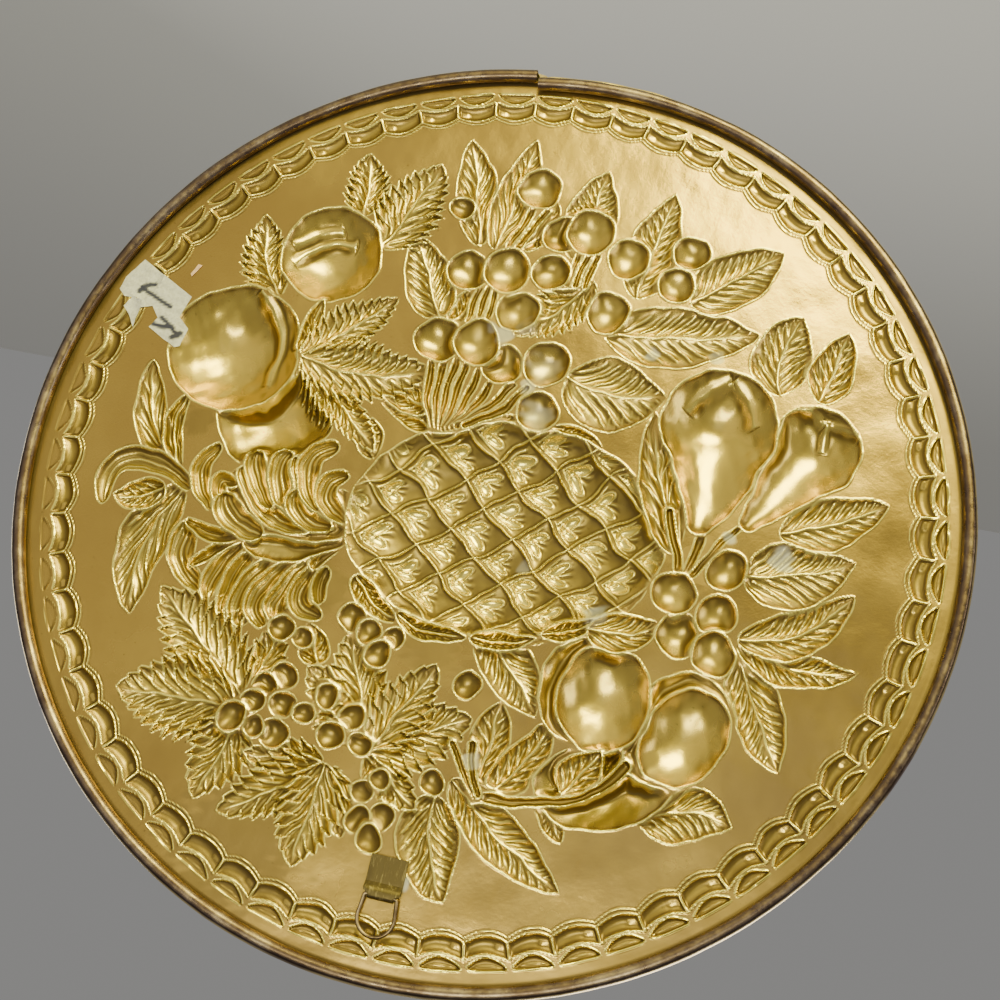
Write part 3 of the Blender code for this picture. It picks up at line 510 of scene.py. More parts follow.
class Relief:
    """Heights at a set of points, painted motif by motif. Height is towards the display side."""

    def __init__(self, x, z):
        self.x = x + ripple(x, z, WAVER_X)
        self.z = z + ripple(x, z, WAVER_Z)
        self.height = np.zeros_like(x)
        self.fine = np.full_like(x, PLAIN_DENSITY)
        # Painted light of the motifs: above 0 painted highlight, below 0 painted shade
        self.tone = np.zeros_like(x)
        self.worn = np.clip(WEAR_MIDDLE + ripple(x, z, WEAR_WAVES), *WEAR_RANGE)

    def near(self, points, margin):
        low = points.min(axis=0) - margin
        high = points.max(axis=0) + margin
        inside = (self.x > low[0]) & (self.x < high[0]) & (self.z > low[1]) & (self.z < high[1])
        return np.nonzero(inside)[0]

    def beside(self, path, margin):
        """The points near a path, their share of the way along it and their distance to its left."""
        at = self.near(path, margin)
        return at, *along_path(self.x[at], self.z[at], path)

    def paint(self, at, outside, height, fine=1.0, outline=OUTLINE_RISE, tone=0.0):
        """Lay a motif over what is there, draw that down to the motif's edge, and chase its outline."""
        faded = self.height[at] * (1 - np.exp(-(np.maximum(outside, 0) / EDGE_BLEND)**2))
        painted = np.where(outside < 0, height, faded)
        self.height[at] = painted - outline * self.worn[at] * bump(outside, OUTLINE_WIDTH)
        beyond = np.where(outside < EDGE_BLEND, 1.0, self.fine[at])
        self.fine[at] = np.where(outside < -EDGE_BLEND, fine, beyond)
        # The motif's painted highlight and painted shade replace what lay under it
        self.tone[at] = np.where(outside < 0, tone, self.tone[at])

    def leaf(self, x0, z0, x1, z1, half_width, bow, vein=VEIN_SPACING, tooth=0.0, slant=VEIN_SLANT):
        path = bowed_path(x0, z0, x1, z1, bow)
        at, share, side = self.beside(path, half_width * 1.2 + 3 * EDGE_BLEND)
        length = math.hypot(x1 - x0, z1 - z0)
        reach = np.abs(side)
        foot, tip = LEAF_SWELL
        swell = (share / LEAF_WIDEST)**foot * ((1 - share) / (1 - LEAF_WIDEST))**tip
        width = half_width * swell
        if tooth:
            phase = (share * length - 0.3 * reach) / tooth + 0.17 * np.sign(side)
            width = width * (1 + TOOTH_REACH * ((phase - np.floor(phase))**1.5 - 0.45))
        width = np.maximum(width, 0.01)
        across = reach / width
        rib = 1 - RIB_DIP * bump(side, RIB_REACH * half_width)
        body = LEAF_DEPTH * np.clip(swell, 0, 1)**0.6 * np.clip(1 - across**LEAF_CROWN, 0, 1) * rib
        bowed = slant * reach * (1 - 0.25 * across)
        phase = (share * length - bowed) / vein + np.where(side > 0, 0.5, 0.13 * bow)
        part = phase - np.floor(phase)
        off_vein = np.minimum(part, 1 - part) * vein / math.hypot(1, slant)
        shown = ease(reach, 0.6, 2.4) * ease(0.97 - across, 0.0, 0.3)
        lobe = np.sin(math.pi * part)**0.8 * (1.25 - 0.6 * part)
        body = body * (1 - 0.2 * shown + VEIN_SWELL * shown * lobe)
        body -= VEIN_RISE * self.worn[at] * shown * bump(off_vein, VEIN_WIDTH)
        body -= MIDRIB_RISE * bump(side, MIDRIB_WIDTH) * (1 - share)**0.5
        # Painted highlight on the crest of each lobe and painted shade in the dips between lobes
        tone = shown * (0.55 * ease(lobe, 0.7, 1.1) - 0.30 * ease(0.6 - lobe, 0, 0.5))
        self.paint(at, reach - width, body, tone=tone)

    def lobe(self, *row):
        self.leaf(*row, LOBE_VEINS, LOBE_TEETH, LOBE_SLANT)

    def smooth_blade(self, *row):
        self.blade(*row, LEAF_DEPTH)

    def blade(self, half_width, lined, points, depth=CROWN_DEPTH):
        """A curved blade, wide in the middle, with a fine line inside its left (1) or right (-1) edge."""
        at, share, side = self.beside(rounded_path(points), half_width + 3 * EDGE_BLEND)
        swell = (4 * share * (1 - share))**BLADE_SWELL
        width = np.maximum(half_width * swell, 0.01)
        across = side / width
        slope = 1 - BLADE_LEAN + BLADE_LEAN * lined * across
        body = depth * np.clip(swell, 0, 1)**0.6 * np.clip(1 - np.abs(across)**BLADE_CROWN, 0, 1) * slope
        long = ease(swell, 0.25, 0.7)
        for place, rise in BLADE_LINES:
            body = body - rise * abs(lined) * bump(side - lined * place * width, 0.5) * long
        # Painted highlight along one side of the blade and painted shade along the other
        tone = 0.55 * bump(across - 0.75 * lined, 0.3) - 0.35 * bump(across + 0.35 * lined, 0.4)
        self.paint(at, np.abs(side) - width, body, tone=tone)

    def dome(self, x0, z0, along, across, turn, depth, fine=FRUIT_DENSITY, outline=OUTLINE_RISE):
        corner = np.array([[x0 - along, z0 - along], [x0 + along, z0 + along]], dtype=float)
        at = self.near(corner, 3 * EDGE_BLEND + max(0, across - along))
        reach = oval_reach(self.x[at], self.z[at], x0, z0, along, across, turn)
        height = depth * np.clip(1 - reach**2, 0, 1)
        self.paint(at, (reach - 1) * min(along, across), height, fine, outline)

    def fruit(self, x0, z0, along, across, turn):
        self.dome(x0, z0, along, across, turn, FRUIT_RISE * min(along, across))

    def berry(self, x0, z0, radius):
        self.dome(x0, z0, radius, radius, 0, BERRY_RISE * radius)

    def pear(self, *circles):
        circles = np.array(circles)
        fine = np.linspace(0, len(circles) - 1, 49)
        chain = np.stack([np.interp(fine, range(len(circles)), circles[:, k]) for k in range(3)], axis=1)
        at = self.near(chain[:, :2], chain[:, 2].max() + 3 * EDGE_BLEND)
        off = np.hypot(self.x[at, None] - chain[:, 0], self.z[at, None] - chain[:, 1])
        outside = (off - chain[:, 2]).min(axis=1)
        bulge = FRUIT_RISE * chain[:, 2] * np.clip(1 - (off / chain[:, 2])**2, 0, 1)
        self.paint(at, outside, bulge.max(axis=1), FRUIT_DENSITY)

    def stem(self, radius, points):
        at, _, side = self.beside(rounded_path(points, 2), radius + 3 * EDGE_BLEND)
        height = STEM_DEPTH * np.clip(1 - (side / radius)**2, 0, 1)**0.7
        self.paint(at, np.abs(side) - radius, height, outline=0.8 * OUTLINE_RISE)

    def cleft(self, depth, width, points):
        at, share, side = self.beside(rounded_path(points), 4 * width)
        cut = depth * bump(side, width) * np.sqrt(np.sin(np.pi * np.clip(share, 0.02, 1)))
        self.height[at] -= np.minimum(cut, np.maximum(self.height[at], 0))

    def pineapple(self, *oval):
        self.dome(*oval, 1.0, 1.0)
        reach = oval_reach(self.x, self.z, *oval)**2
        at = np.nonzero(reach < 1)[0]
        body = PINEAPPLE_DEPTH * (1 - reach[at]**1.8)
        x = self.x[at] + ripple(self.x[at], self.z[at], CELL_WAVER_X) - CELL_NODE[0]
        z = self.z[at] + ripple(self.x[at], self.z[at], CELL_WAVER_Z) - CELL_NODE[1]
        p = x / CELL[0] + z / CELL[1]
        q = x / CELL[0] - z / CELL[1]
        cell = np.abs(np.sin(np.pi * p) * np.sin(np.pi * q))**0.6
        shown = np.clip((1 - reach[at]) * 6, 0, 1)
        pattern, tone = cell_pattern(p, q)
        self.height[at] = body + (cell - 0.5) * CELL_DEPTH * shown - shown * pattern
        # The cells' painted highlight and painted shade
        self.tone[at] = shown * tone


def cell_pattern(p, q):
    """The chased pattern of the pineapple's cells: p runs up to the right and q down to the right."""
    pitch = 1 / math.hypot(1 / CELL[0], 1 / CELL[1])
    fp = p - np.floor(p)
    fq = q - np.floor(q)
    lean = 0.10 * np.sin(2.3 * np.floor(p) + 4.1 * np.floor(q))
    edge_p = np.minimum(fp, 1 - fp) * pitch
    edge_q = np.minimum(fq, 1 - fq) * pitch
    rise = CELL_LINE_RISE * np.maximum(bump(edge_p, CELL_LINE_WIDTH), bump(edge_q, CELL_LINE_WIDTH))
    inner = np.zeros_like(p)
    # Painted shade on the ground between the petals
    tone = GROUND_SHADE[0] + GROUND_SHADE[1] * ease(np.minimum(fp, fq), 0.40, 0.56)
    for main, other in ((fp, fq), (fq, fp)):
        line = bump((other - INNER_LINE) * pitch, 0.40) * ease(0.85 - main, 0, 0.2) * ease(main, 0.06, 0.14)
        inner = np.maximum(inner, line)
    rise = rise + CELL_LINE_RISE * 0.8 * inner
    for main, other, tilt in ((fp, fq, PETAL_TILT + lean), (fq, fp, PETAL_TILT - lean)):
        past = main - PETAL_MIDDLE[0]
        across = (other - PETAL_MIDDLE[1] - tilt * past) / (PETAL_HALF[1] + 0.05 * (main - 0.3))
        petal = (past / PETAL_HALF[0])**2 + across**2
        rise = rise - PETAL_DEPTH * np.clip(1 - petal, 0, 1)**0.6 + 0.45 * bump(petal - 1, 0.30)
        # Painted highlight on each petal
        tone = tone + (PETAL_HIGHLIGHT - tone) * ease(1.15 - petal, 0, 0.4)
    turn = np.arctan2(fq - 0.3, fp - 0.3)
    far = np.hypot(fq - 0.3, fp - 0.3)
    fan = ease(far, 0.18, 0.28) * ease(0.55 - far, 0, 0.2) * ease(np.minimum(fp, fq), 0.38, 0.46)
    return rise + 0.3 * np.cos(turn * FAN_FOLDS + 20 * lean) * fan, tone


def draw_relief(x, z):
    """The relief inside the border at points of the drawing."""
    relief = Relief(x, z)
    layers = (
        (relief.leaf, BACK_LEAVES + OUTER_LEAVES), (relief.fruit, BACK_FRUIT[:5]), (relief.leaf, FRONT_LEAF),
        (relief.smooth_blade, SMOOTH_BLADES), (relief.leaf, CURLED_LEAF), (relief.fruit, BACK_FRUIT[5:6]),
        (relief.blade, CROWN_BLADES), (relief.pineapple, PINEAPPLE), (relief.leaf, BACK_LEAVES[:4]),
        (relief.lobe, TOOTHED_LOBES), (relief.fruit, BACK_FRUIT[6:]), (relief.leaf, INNER_LEAVES),
        (relief.stem, STEMS), (relief.pear, PEARS), (relief.cleft, CLEFTS), (relief.berry, BERRIES),
    )
    for paint, rows in layers:
        for row in rows:
            paint(*row)
    return relief


def draw_border(x, z):
    """The scalloped border, at points of the drawing: a double line, a band, a line, and an eye."""
    x, z = x + BORDER_WAVER * ripple(x, z, WAVER_X), z + BORDER_WAVER * ripple(x, z, WAVER_Z)
    reach = np.hypot(x, z)
    angle = np.arctan2(z, x)
    turn = (angle - math.pi / 2) / SCALLOP_TURN
    share = turn - np.floor(turn) - 0.5
    worn = np.exp(-(1 - np.cos(angle - math.radians(WORN_ANGLE))) * WORN_KEEP)
    fresh = 1 - 0.85 * worn
    bow = 1 - (2 * share)**2
    line = BORDER_CUSP - BORDER_BOW * bow
    second = SECOND_CUSP - SECOND_BOW * bow
    past = reach - line
    band = np.clip(past / (second - line), 0, 1)
    height = BORDER_DEPTH * np.sin(math.pi * band)**0.8 * (0.75 + 0.25 * bow)
    to_wall = (0.5 - np.abs(share)) * SCALLOP_TURN * reach
    wall = bump(to_wall, WALL_WIDTH) * ease(band, 0.02, 0.1) * ease(1 - band, 0.0, 0.1)
    height = height * (1 - wall) - 0.35 * wall
    lean = share + 0.34
    hook = bump(band - 0.62 - 0.5 * share, HOOK_WIDTH) * ease(0.16 - np.abs(lean - 0.02), 0.0, 0.12)
    height -= HOOK_DEPTH * hook * (band > 0) * (band < 1)
    height -= BORDER_RISE * (bump(past, BORDER_LINE) + 0.8 * bump(past + DOUBLE_LINE, BORDER_LINE))
    height += 0.25 * bump(past + DOUBLE_LINE / 2, 0.5)
    height -= BORDER_RISE * fresh * bump(reach - second, BORDER_LINE)
    middle = EYE_MIDDLE - EYE_BOW * bow
    half = EYE_HALF_DEPTH * np.clip(1 - (share / EYE_HALF_TURN)**2, 0, 1)
    off = np.abs(reach - middle)
    lens = np.clip(1 - (off / np.maximum(half, 0.05))**2, 0, 1)
    height += EYE_DEPTH * fresh * lens**0.6 * ease(half, 0.0, 1.2)
    rim = bump(off - half, BORDER_LINE) * ease(half, 0.0, 0.8)
    height -= BORDER_RISE * fresh * rim
    ribs = bump(reach - middle - 0.25 * half, 0.4) * ease(half, 1.2, 2.4)
    return height - RIB_DEPTH * fresh * ribs


def sheet_height(x, z):
    """The sheet's height at points of the drawing, and its painted light: below 0 is painted shade, above 0
    is painted highlight.
    """
    reach = np.hypot(x, z)
    height = np.zeros_like(x)
    tone = np.zeros_like(x)
    inner = reach < FIELD_EDGE
    relief = draw_relief(x[inner], z[inner])
    height[inner] = relief.height
    tone[inner] = relief.tone
    outer = ~inner & (reach < 222.5)
    height[outer] = draw_border(x[outer], z[outer])
    return height + ripple(x, z, SHEET_WAVES) * ease(222 - reach, 0, 4), tone


def sheet_places(x, z, height, side=1):
    """Places in metres on the sheet's hollow face (side 1) or its display face (-1)."""
    y = side * SHEET_THICKNESS / 2 - height * SCALE
    return np.stack([x * SCALE, y, z * SCALE], axis=1) + np.array(MIDDLE)


def patches(x, z, rows):
    """How far each point lies in soft patches: middle x, z, radius and strength."""
    total = np.zeros_like(x)
    rough = ripple(x, z, PATCH_WAVES)
    for x0, z0, radius, strength in rows:
        off = np.hypot(x - x0, z - z0) / radius + rough
        total = np.maximum(total, strength * ease(1.15 - off, 0.0, 0.5))
    return total


# The sheet's mesh: rings of points, each with as many as its length needs, zipped together

def edge_dent(turn):
    """How far the rolled edge is pushed in at an angle round the plaque."""
    past = np.mod(turn - SEAM_TURN, 2 * math.pi) / SCALLOP_TURN
    return ROLL_DENT * np.clip(1 - past / DENT_SCALLOPS, 0, 1)**1.4


def busy_map():
    """How fine a mesh the relief needs, by distance from the middle and share of a full turn."""
    radii = np.arange(0, FIELD_EDGE + BUSY_STEP, BUSY_STEP)
    turns = 2 * math.pi * np.arange(BUSY_TURNS) / BUSY_TURNS
    relief = draw_relief(np.outer(radii, np.cos(turns)).ravel(), np.outer(radii, np.sin(turns)).ravel())
    fine = relief.fine.reshape(len(radii), BUSY_TURNS)
    fine[1:] = np.maximum(fine[1:], fine[:-1].copy())
    return fine


def ring_turns(busy, radius, step):
    """Shares of a full turn for a ring's points, closer together where the relief is finer."""
    density = busy[min(len(busy) - 1, round(radius / BUSY_STEP))]
    reach = max(3, int(BUSY_TURNS * 3.0 / (2 * math.pi * radius)) | 1)
    around = np.concatenate([density[-reach:], density, density[:reach]])
    smooth = np.convolve(around, np.ones(reach) / reach, mode="same")[reach:-reach]
    total = np.concatenate([[0.0], np.cumsum(smooth)])
    count = max(12, round(2 * math.pi * radius / step * smooth.mean()))
    return np.interp(np.arange(count) / count * total[-1], total, np.arange(len(total)) / BUSY_TURNS)


def ring_plan(busy, step, border_segments, border_step):
    """The rings: radius, and the share of a full turn at which each point lies."""
    edges = (0.0,) + PIECE_EDGES + (FIELD_EDGE,)
    radii = []
    for low, high in zip(edges, edges[1:]):
        count = round((high - low) / (0.87 * step))
        radii += [low + (high - low) * k / count for k in range(count)]
    rings = [(0.0, np.zeros(1))]
    rings += [(radius, ring_turns(busy, radius, step)) for radius in radii[1:]]
    outer = PLATE_RADIUS / SCALE
    count = round((outer - FIELD_EDGE) / border_step)
    segments = SCALLOPS * border_segments
    even = np.arange(segments) / segments
    return rings + [(FIELD_EDGE + (outer - FIELD_EDGE) * k / count, even) for k in range(count + 1)]


def zip_rings(first, turns, following, next_turns):
    """Triangles between two rings that start at the same angle, seen from the display side."""
    count, next_count = len(turns), len(next_turns)
    if count == 1:
        k = np.arange(next_count)
        return np.stack([np.full(next_count, first), following + k, following + (k + 1) % next_count], axis=1)
    inner = (turns + np.append(turns[1:], 1.0)) / 2
    outer = (next_turns + np.append(next_turns[1:], 1.0)) / 2
    apex = np.searchsorted(outer, inner, side="left")
    back = np.searchsorted(inner, outer, side="right")
    k = np.arange(count)
    low = np.stack([first + k, following + apex % next_count, first + (k + 1) % count], axis=1)
    k = np.arange(next_count)
    high = np.stack([first + back % count, following + k, following + (k + 1) % next_count], axis=1)
    return np.concatenate([low, high])


class Surface:
    """One face of the sheet: its points, normals and triangles, ring by ring."""

    def __init__(self, plan, side):
        self.plan = plan
        self.first = np.concatenate([[0], np.cumsum([len(turns) for _, turns in plan])])
        reach = np.concatenate([np.full(len(turns), r) for r, turns in plan])
        turn = 2 * math.pi * np.concatenate([turns for _, turns in plan])
        dent = edge_dent(turn) / SCALE * ease(reach, EYE_TOP, PLATE_RADIUS / SCALE)
        x = (reach - dent) * np.cos(turn)
        z = (reach - dent) * np.sin(turn)
        self.height, tone = sheet_height(x, z)
        self.place = sheet_places(x, z, self.height, side)
        rings = [(first, turns) for first, (_, turns) in zip(self.first, plan)]
        self.bands = [zip_rings(*ring, *following) for ring, following in zip(rings, rings[1:])]
        self.normal = self.point_normals(x, z, side)
        # Painted shadow in the gap beside the rolled edge, and the sheet painted darker towards the rim
        rim_shadow = np.maximum(ease(reach, RIM_SHADOW_START, RIM_SHADOW_START + 1.6), RIM_DARKENING * ease(reach, 212, 217))
        self.fields = {
            "proud": side * self.bend(x, z),
            "pressed": self.height,
            # Dark patches of dirt and painted shade, the motifs' painted shade and the rim's painted shadow
            "dirt": np.maximum(np.clip(np.maximum(patches(x, z, DIRT_AND_SHADE_PATCHES), -tone), 0, 1) * (side > 0), rim_shadow),
            # The motifs' painted highlight
            "shine": np.maximum(tone, 0) * (side > 0),
            "smudge": patches(x, z, SMUDGES) * (side > 0),
        }

    def point_normals(self, x, z, side):
        """Normals from the slope of the drawing close to each point."""
        step = BACK_SLOPE_STEP if side > 0 else FRONT_SLOPE_STEP
        slope_x = (sheet_height(x + step, z)[0] - sheet_height(x - step, z)[0]) / (2 * step)
        slope_z = (sheet_height(x, z + step)[0] - sheet_height(x, z - step)[0]) / (2 * step)
        normal = side * np.stack([slope_x, np.ones_like(x), slope_z], axis=1)
        return normal / np.linalg.norm(normal, axis=1, keepdims=True)

    def bend(self, x, z):
        """How far each point lies behind its surroundings, in millimetres."""
        around = np.zeros_like(x)
        for step_x, step_z in ((BEND_STEP, 0), (-BEND_STEP, 0), (0, BEND_STEP), (0, -BEND_STEP)):
            around += sheet_height(x + step_x, z + step_z)[0] / 4
        return BEND_GAIN * (around - self.height)

    def ring_at(self, radius):
        return int(np.argmin([abs(r - radius) for r, _ in self.plan]))


def build_mesh(name, places, normals, triangles, fields):
    """A smooth mesh from arrays, with its normals and its named values per point."""
    mesh = bpy.data.meshes.new(name)
    mesh.vertices.add(len(places))
    mesh.vertices.foreach_set("co", places.astype(np.float32).ravel())
    mesh.loops.add(triangles.size)
    mesh.loops.foreach_set("vertex_index", triangles.astype(np.int32).ravel())
    mesh.polygons.add(len(triangles))
    mesh.polygons.foreach_set("loop_start", np.arange(0, triangles.size, 3, dtype=np.int32))
    mesh.update(calc_edges=True)
    mesh.shade_smooth()
    mesh.normals_split_custom_set_from_vertices(normals.tolist())
    for label, values in fields.items():
        layer = mesh.attributes.new(label, "FLOAT", "POINT")
        layer.data.foreach_set("value", values.astype(np.float32))
    return mesh


def shell(name, points, faces):
    """A closed mesh whose faces are all turned outward."""
    mesh = bpy.data.meshes.new(name)
    mesh.from_pydata(points.tolist(), [], faces)
    shape = bmesh.new()
    shape.from_mesh(mesh)
    bmesh.ops.recalc_face_normals(shape, faces=shape.faces)
    bmesh.ops.triangulate(shape, faces=shape.faces)
    shape.to_mesh(mesh)
    shape.free()
    return mesh


def grid_triangles(first, second):
    """Triangles between rows of points and the rows that follow them, all running round."""
    around, far = np.roll(first, -1, axis=1), np.roll(second, -1, axis=1)
    halves = [np.stack([first, second, around], axis=2), np.stack([around, second, far], axis=2)]
    return np.concatenate(halves).reshape(-1, 3)


def wall_triangles(start, end, shift):
    """Triangles between edges and the same edges on the other face, shift points further on."""
    return np.concatenate([np.stack([start, end, start + shift], axis=1),
                           np.stack([end, end + shift, start + shift], axis=1)])


def add_object(name, data):
    made = bpy.data.objects.new(name, data)
    bpy.context.scene.collection.objects.link(made)
    return made


def sheet_piece(name, back, front, low, high, material):
    """A closed piece of the sheet between two radii, made of both faces and the walls between them."""
    places, normals, triangles = [], [], []
    fields = {label: [] for label in back.fields}
    offset = 0
    ends = []
    for face in (back, front):
        start, stop = face.ring_at(low), face.ring_at(high)
        first, last = face.first[start], face.first[stop + 1]
        band = np.concatenate(face.bands[start:stop]) - first + offset
        triangles.append(band if face is front else band[:, ::-1])
        places.append(face.place[first:last])
        normals.append(face.normal[first:last])
        for label, values in face.fields.items():
            fields[label].append(values[first:last])
        inner = (offset, face.plan[start][1])
        outer = (face.first[stop] - first + offset, face.plan[stop][1])
        ends.append((inner, outer))
        offset += last - first
    (back_in, back_out), (front_in, front_out) = ends
    if low > 0:
        triangles.append(zip_rings(*front_in, *back_in)[:, ::-1])
    triangles.append(zip_rings(*front_out, *back_out))
    fields = {label: np.concatenate(values) for label, values in fields.items()}
    mesh = build_mesh(name, *map(np.concatenate, (places, normals, triangles)), fields)
    return add_piece(name, mesh, material)


def add_piece(name, mesh, material):
    piece = add_object(name, mesh)
    mesh.materials.append(material)
    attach(piece, "root")
    return piece


# The rolled edge

def make_roll(material):
    half = SEAM_WIDTH / 2 / RADIUS
    turn = SEAM_TURN + np.linspace(half, 2 * math.pi - half, ROLL_STATIONS)
    dent = edge_dent(turn)
    profile = np.radians(np.linspace(-90, ROLL_END, ROLL_POINTS))
    waver = sum(size * np.sin(count * turn + start) for count, start, size in ROLL_WAVES)
    crease = bump(np.degrees(profile) - CREASE_ANGLE, CREASE_SPREAD)
    swell = waver[:, None] * np.sin((profile + math.pi / 2) / 2)**2 - CREASE_DEPTH * crease
    out = np.stack([np.cos(turn), np.zeros_like(turn), np.sin(turn)], axis=1)
    centre = out * (PLATE_RADIUS - dent)[:, None] + np.array([MIDDLE.x, MIDDLE.y + ROLL_MIDDLE, MIDDLE.z])
    rays = out[:, None] * np.cos(profile)[None, :, None]
    rays[:, :, 1] = np.sin(profile)
    radii = [(ROLL_MIDDLE + side * SHEET_THICKNESS / 2 + swell)[:, :, None] for side in (1, -1)]
    loop = centre[:, None] + np.concatenate([rays * radii[0], (rays * radii[1])[:, ::-1]], axis=1)
    normals = np.concatenate([rays, -rays[:, ::-1]], axis=1)
    stations, points = loop.shape[:2]
    index = np.arange(stations * points).reshape(stations, points)
    triangles = [grid_triangles(index[:-1], index[1:])[:, ::-1]]
    for row, way in ((index[0], -1), (index[-1], 1)):
        near, far = row[:ROLL_POINTS], row[ROLL_POINTS:][::-1]
        cap = [np.stack([near[:-1], near[1:], far[:-1]], axis=1),
               np.stack([near[1:], far[1:], far[:-1]], axis=1)]
        triangles.append(np.concatenate(cap)[:, ::way])
    # The worn strip, and the crease, where the finish paints shade
    strip = ease(CREASE_ANGLE - np.degrees(profile), 4, 16) * ease(np.degrees(profile), -30, -5)
    bare = np.zeros(ROLL_POINTS)
    fields = {label: np.tile(np.concatenate([values, bare]), stations)
              for label, values in (("strip", strip), ("crease", crease))}
    places, normals = loop.reshape(-1, 3), normals.reshape(-1, 3)
    mesh = build_mesh("rolled_edge", places, normals, np.concatenate(triangles), fields)
    return add_piece("rolled_edge", mesh, material)


def directions(path, closed=False):
    """Unit steps along a path at each of its points."""
    if closed:
        path = np.concatenate([path[-1:], path, path[:1]])
    step = np.gradient(path, axis=0)[closed:len(path) - closed]
    return step / np.linalg.norm(step, axis=1, keepdims=True)


def tube(path, radii, segments, closed):
    """A round tube along a path: its points, outward normals and triangles."""
    along = directions(path, closed)
    side = np.cross(along, np.array([0, 1.0, 0]))
    side /= np.linalg.norm(side, axis=1, keepdims=True)
    top = np.cross(side, along)
    angle = 2 * math.pi * np.arange(segments) / segments
    rays = side[:, None] * np.cos(angle)[None, :, None] + top[:, None] * np.sin(angle)[None, :, None]
    points = path[:, None] + rays * np.broadcast_to(radii, len(path))[:, None, None]
    index = np.arange(len(path) * segments).reshape(len(path), segments)
    if closed:
        return points.reshape(-1, 3), rays.reshape(-1, 3), grid_triangles(index, np.roll(index, -1, axis=0))
    fan = np.stack([np.zeros(segments - 2, int), np.arange(1, segments - 1), np.arange(2, segments)], axis=1)
    triangles = [grid_triangles(index[:-1], index[1:]), index[0][fan], index[-1][fan][:, ::-1]]
    return points.reshape(-1, 3), rays.reshape(-1, 3), np.concatenate(triangles)


def round_the_edge(degrees, radius, rise):
    """Places beside the rolled edge: degrees past the seam, millimetres from the middle, metres up."""
    turn = SEAM_TURN + np.radians(degrees)
    x, z = radius * SCALE * np.cos(turn), radius * SCALE * np.sin(turn)
    return np.stack([MIDDLE.x + x, MIDDLE.y + rise + 0 * x, MIDDLE.z + z], axis=-1)


def make_torn_edge(material):
    """The strip of sheet that stayed out where the roll was pushed in, and the torn flap at the seam."""
    degrees = np.linspace(STRIP_START, STRIP_END, STRIP_STATIONS)
    reach = RADIUS - edge_dent(SEAM_TURN + np.radians(degrees)) + 0.55 * STRIP_RADIUS
    reach = np.minimum(reach, RADIUS - STRIP_RADIUS) / SCALE
    taper = ease(degrees, STRIP_START - 0.2, STRIP_START + 1.5)
    taper = STRIP_RADIUS * (0.25 + 0.75 * taper * ease(STRIP_END + 0.3 - degrees, 0, 2.5))
    path = round_the_edge(degrees, reach, 0.0016 + 0.0003 * np.sin(degrees * 0.9))
    mesh = build_mesh("torn_strip", *tube(path, taper, STRIP_SEGMENTS, False), {})
    strip = add_piece("torn_strip", mesh, material)
    rows = np.array(FLAP)
    outline = round_the_edge(rows[:, 0], rows[:, 1], rows[:, 2] / 1000)
    middle = outline.mean(axis=0) + np.array([0, 0.0009, 0])
    points = np.concatenate([outline, middle[None]])
    under = points - np.array([0, 0.0005, 0])
    count = len(outline)
    k = np.arange(count)
    following = (k + 1) % count
    top = np.stack([k, following, np.full(count, count)], axis=1)
    triangles = np.concatenate([top, top + count + 1, wall_triangles(k, following, count + 1)])
    mesh = shell("torn_flap", np.concatenate([points, under]), triangles.tolist())
    return [strip, add_piece("torn_flap", mesh, material)]


# The label

def paper(name, corners, strokes, material):
    """A torn piece of paper pressed onto the relief, closed, with its pen strokes as a named value."""
    corners = np.array(corners)
    ring = []
    for start, end in zip(corners, np.roll(corners, -1, axis=0)):
        count = max(1, round(np.linalg.norm(end - start) / PAPER_STEP))
        ring += [start + (end - start) * j / count for j in range(count)]
    ring = np.array(ring)
    low, high = ring.min(axis=0), ring.max(axis=0)
    spans = [np.arange(low[k], high[k], PAPER_STEP) for k in (0, 1)]
    grid = np.stack(np.meshgrid(*spans), axis=-1).reshape(-1, 2)
    off = np.linalg.norm(grid[:, None] - ring[None], axis=2).min(axis=1)
    spots = np.concatenate([ring, grid[off > 0.6 * PAPER_STEP]])
    edges = [(k, (k + 1) % len(ring)) for k in range(len(ring))]
    flat = [Vector(spot) for spot in spots.tolist()]
    found = delaunay_2d_cdt(flat, edges, [list(range(len(ring)))], 1, 1e-5)
    x, z = np.array([list(spot) for spot in found[0]]).T
    triangles = np.array(found[2])
    sides = np.concatenate([triangles[:, [0, 1]], triangles[:, [1, 2]], triangles[:, [2, 0]]])
    start, end = sides.T
    level = sheet_height(x, z)[0]
    ends = np.maximum(np.bincount(sides.ravel(), minlength=len(x)), 1)
    for _ in range(PAPER_SMOOTHING):
        total = np.bincount(start, level[end], len(x)) + np.bincount(end, level[start], len(x))
        level = np.minimum(level, total / ends)
    lift = PAPER_LIFT * (1 + ripple(x, z, PAPER_WAVES))
    under = sheet_places(x, z, level) + np.stack([0 * x, lift, 0 * z], axis=1)
    top = under + np.array([0, PAPER_THICKNESS, 0])
    sides, uses = np.unique(np.sort(sides, axis=1), axis=0, return_counts=True)
    walls = wall_triangles(*sides[uses == 1].T, len(x))
    ink = np.zeros_like(x)
    for stroke in strokes:
        off = np.abs(along_path(x, z, rounded_path(stroke, 2))[1])
        ink = np.maximum(ink, ease(1.5 - off, 0, 0.7))
    faces = np.concatenate([triangles, triangles + len(x), walls])
    mesh = shell(name, np.concatenate([top, under]), faces.tolist())
    layer = mesh.attributes.new("ink", "FLOAT", "POINT")
    layer.data.foreach_set("value", np.concatenate([ink, ink * 0]).astype(np.float32))
    return add_piece(name, mesh, material)


# The hanger

